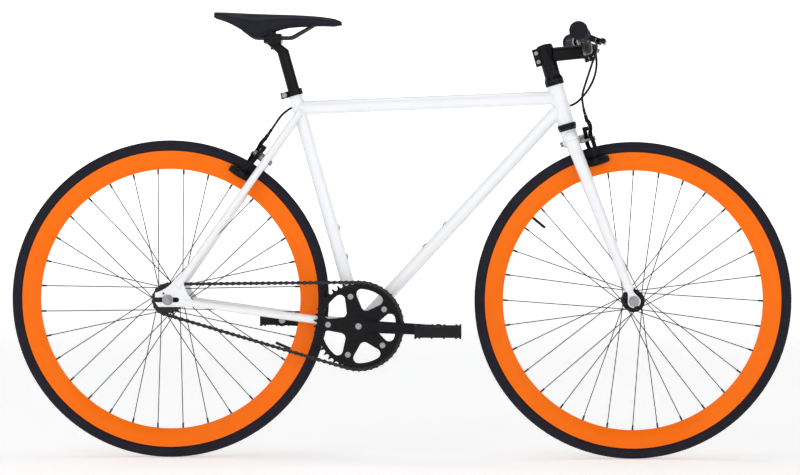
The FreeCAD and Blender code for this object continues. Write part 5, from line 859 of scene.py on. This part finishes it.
row_shares = [2 * row / (shoe_rows - 1) - 1 for row in range(shoe_rows)]
for end, middle in pad_places.items():
    hub_middle = Vector((wheel_bodies[end][1], 0, axle_height))
    outward = (middle - hub_middle).normalized()
    along = outward.cross(to_left)
    for hand, side in (("left", to_left), ("right", -to_left)):
        sections = [shoe_section(middle, along, outward, side, share) for share in row_shares]
        shoe = skin(f"{end}_{hand}_shoe", sections)
        dress(shoe, f"{end}_{hand}_arm", "black_alloy")
print("brake shoes", shoe.dimensions)

# %% [markdown]
# A black cap covers the washer and the rim of the bolt that holds each crank, so only the middle of the
# bolt shows bright. It is a turned cup with an open middle and a bevelled lip.

# %% Crank caps
cap_face = 0.0618
cap_skirt = 0.0047
cap_bore = 0.0111
cap_radius = 0.0121
cap_shoulder = 0.0008
cap_top = 0.0016
cap_top_radius = 0.0112
cap_lip = 0.001
cap_lip_radius = 0.0073
cap_mouth = 0.0066
cap_underside = 0.0003
cap_sides = 64
cap_outline = [(-cap_skirt, cap_bore), (-cap_skirt, cap_radius), (cap_shoulder, cap_radius),
               (cap_top, cap_top_radius), (cap_top, cap_lip_radius), (cap_lip, cap_mouth),
               (cap_underside, cap_mouth), (cap_underside, cap_bore)]
for hand, side in (("left", 1), ("right", -1)):
    cap_middle = crank_middle + Vector((0, side * cap_face, 0))
    cap = lathe(f"{hand}_crank_cap", cap_outline, cap_middle, Vector((0, side, 0)), cap_sides, loop=True)
    dress(cap, "crank", "black_alloy")
print("crank caps", cap.dimensions)

# %% [markdown]
# Short studs moulded on the pedals' end plates hold the sole of a shoe. They could be an array of
# instances, but one small mesh for each pedal is lighter and rides on its body as a whole. The pedal's
# own box says where the plates are.

# %% Pedal studs
stud_radius = 0.0021
stud_foot = 0.0105
stud_top = 0.0138
stud_tip_share = 0.7
stud_shoulder_share = 0.8
stud_spread_shares = (-0.78, -0.26, 0.26, 0.78)
stud_sides = 16
plate_inset = 0.0035
for hand in ("left", "right"):
    pedal = nodes[f"pedal_{hand}"]
    corners = [pedal.matrix_world @ Vector(corner) for corner in pedal.bound_box]
    pedal_low = Vector([min(corner[axis] for corner in corners) for axis in range(3)])
    pedal_high = Vector([max(corner[axis] for corner in corners) for axis in range(3)])
    pedal_middle = (pedal_low + pedal_high) / 2
    half_length = (pedal_high.x - pedal_low.x) / 2
    studs = []
    for plate in (pedal_low.y + plate_inset, pedal_high.y - plate_inset):
        for share in stud_spread_shares:
            for up in (-1, 1):
                root = Vector((pedal_middle.x + half_length * share, plate, pedal_middle.z + up * stud_foot))
                tip = Vector((root.x, root.y, pedal_middle.z + up * stud_top))
                line = [root, root.lerp(tip, stud_shoulder_share), tip]
                radii = [stud_radius, stud_radius, stud_radius * stud_tip_share]
                studs.append(tube_rows(line, radii, stud_sides))
    tread = joined(f"{hand}_pedal_studs", studs)
    dress(tread, f"{hand}_pedal", "pedal_plastic")
print("pedal studs", len(studs), "on each pedal, middle", pedal_middle)

# %% [markdown]
# The bicycle stands on a seamless pale studio floor that curves up into a wall far away on every side,
# so no horizon shows from any direction. Large soft lamps and a bright wall give the even light of a
# catalogue picture. The paper glows a little, more towards the wall, which is how a studio lights its
# background apart from the object.

# %% Studio floor
floor_radius = 40.0
wall_curve = 10.0
wall_height = 16.0
curve_steps = 12
floor_steps = 96
floor_rings = (0.5, 2.0, 5.0, 12.0, 25.0)
glow_start = 1.0
glow_end = 9.0
floor_glow = 0.36
wall_glow = 0.85
floor_outline = [(0, radius) for radius in floor_rings] + [(0, floor_radius)]
for step in range(1, curve_steps + 1):
    turn = math.pi / 2 * step / curve_steps
    floor_outline.append((wall_curve * (1 - math.cos(turn)), floor_radius + wall_curve * math.sin(turn)))
floor_outline.append((wall_height, floor_radius + wall_curve))
studio = lathe("studio_floor", floor_outline, Vector((0, 0, 0)), Vector((0, 0, 1)), floor_steps,
               ends=(True, False))
paper = new_finish("studio_paper", (0.9, 0.9, 0.9), (0.93, 0.93, 0.93), tone_size=1.5, rough=(0.85, 0.95),
                   grain_size=0.02, grain_height=0.0001)
paper_tree = paper["tree"]
paper["shader"].inputs["Emission Color"].default_value = (1, 1, 1, 1)
distance = paper_tree.nodes.new("ShaderNodeVectorMath")
distance.operation = "LENGTH"
glow = paper_tree.nodes.new("ShaderNodeMapRange")
glow.inputs["From Min"].default_value = glow_start
glow.inputs["From Max"].default_value = glow_end
glow.inputs["To Min"].default_value = floor_glow
glow.inputs["To Max"].default_value = wall_glow
paper_tree.links.new(paper["mapping"].outputs["Vector"], distance.inputs[0])
paper_tree.links.new(distance.outputs["Value"], glow.inputs["Value"])
paper_tree.links.new(glow.outputs["Result"], paper["shader"].inputs["Emission Strength"])
studio.data.materials.append(finishes["studio_paper"])
print("studio floor", studio.dimensions)

# %% [markdown]
# Three large square lamps light the bicycle: a key from the left of the camera, a weaker fill from the right
# and one from above. Large lamps make soft shadows. The world adds a little light from all round, and the
# standard view transform keeps the whites white.

# %% Lamps
lamp_size = 3.5
lamps = {
    "key_lamp": ((-2.6, -4.2, 3.6), 66),
    "fill_lamp": ((3.2, -4.0, 2.4), 26),
    "top_lamp": ((0.0, 0.3, 4.2), 62),
}
aim = Vector((0, 0, 0.45))
for name, (place, power) in lamps.items():
    lamp_data = bpy.data.lights.new(name, "AREA")
    lamp_data.energy = power
    lamp_data.size = lamp_size
    lamp = bpy.data.objects.new(name, lamp_data)
    lamp.location = place
    lamp.rotation_mode = "QUATERNION"
    lamp.rotation_quaternion = (aim - Vector(place)).to_track_quat("-Z", "Y")
    bpy.context.scene.collection.objects.link(lamp)
surround = bpy.data.worlds.new("bright_surround")
surround.use_nodes = True
surround.node_tree.nodes["Background"].inputs["Color"].default_value = (0.97, 0.98, 1.0, 1)
surround.node_tree.nodes["Background"].inputs["Strength"].default_value = 0.15
bpy.context.scene.world = surround
bpy.context.scene.view_settings.view_transform = "Standard"
print("lamps", len(lamps))
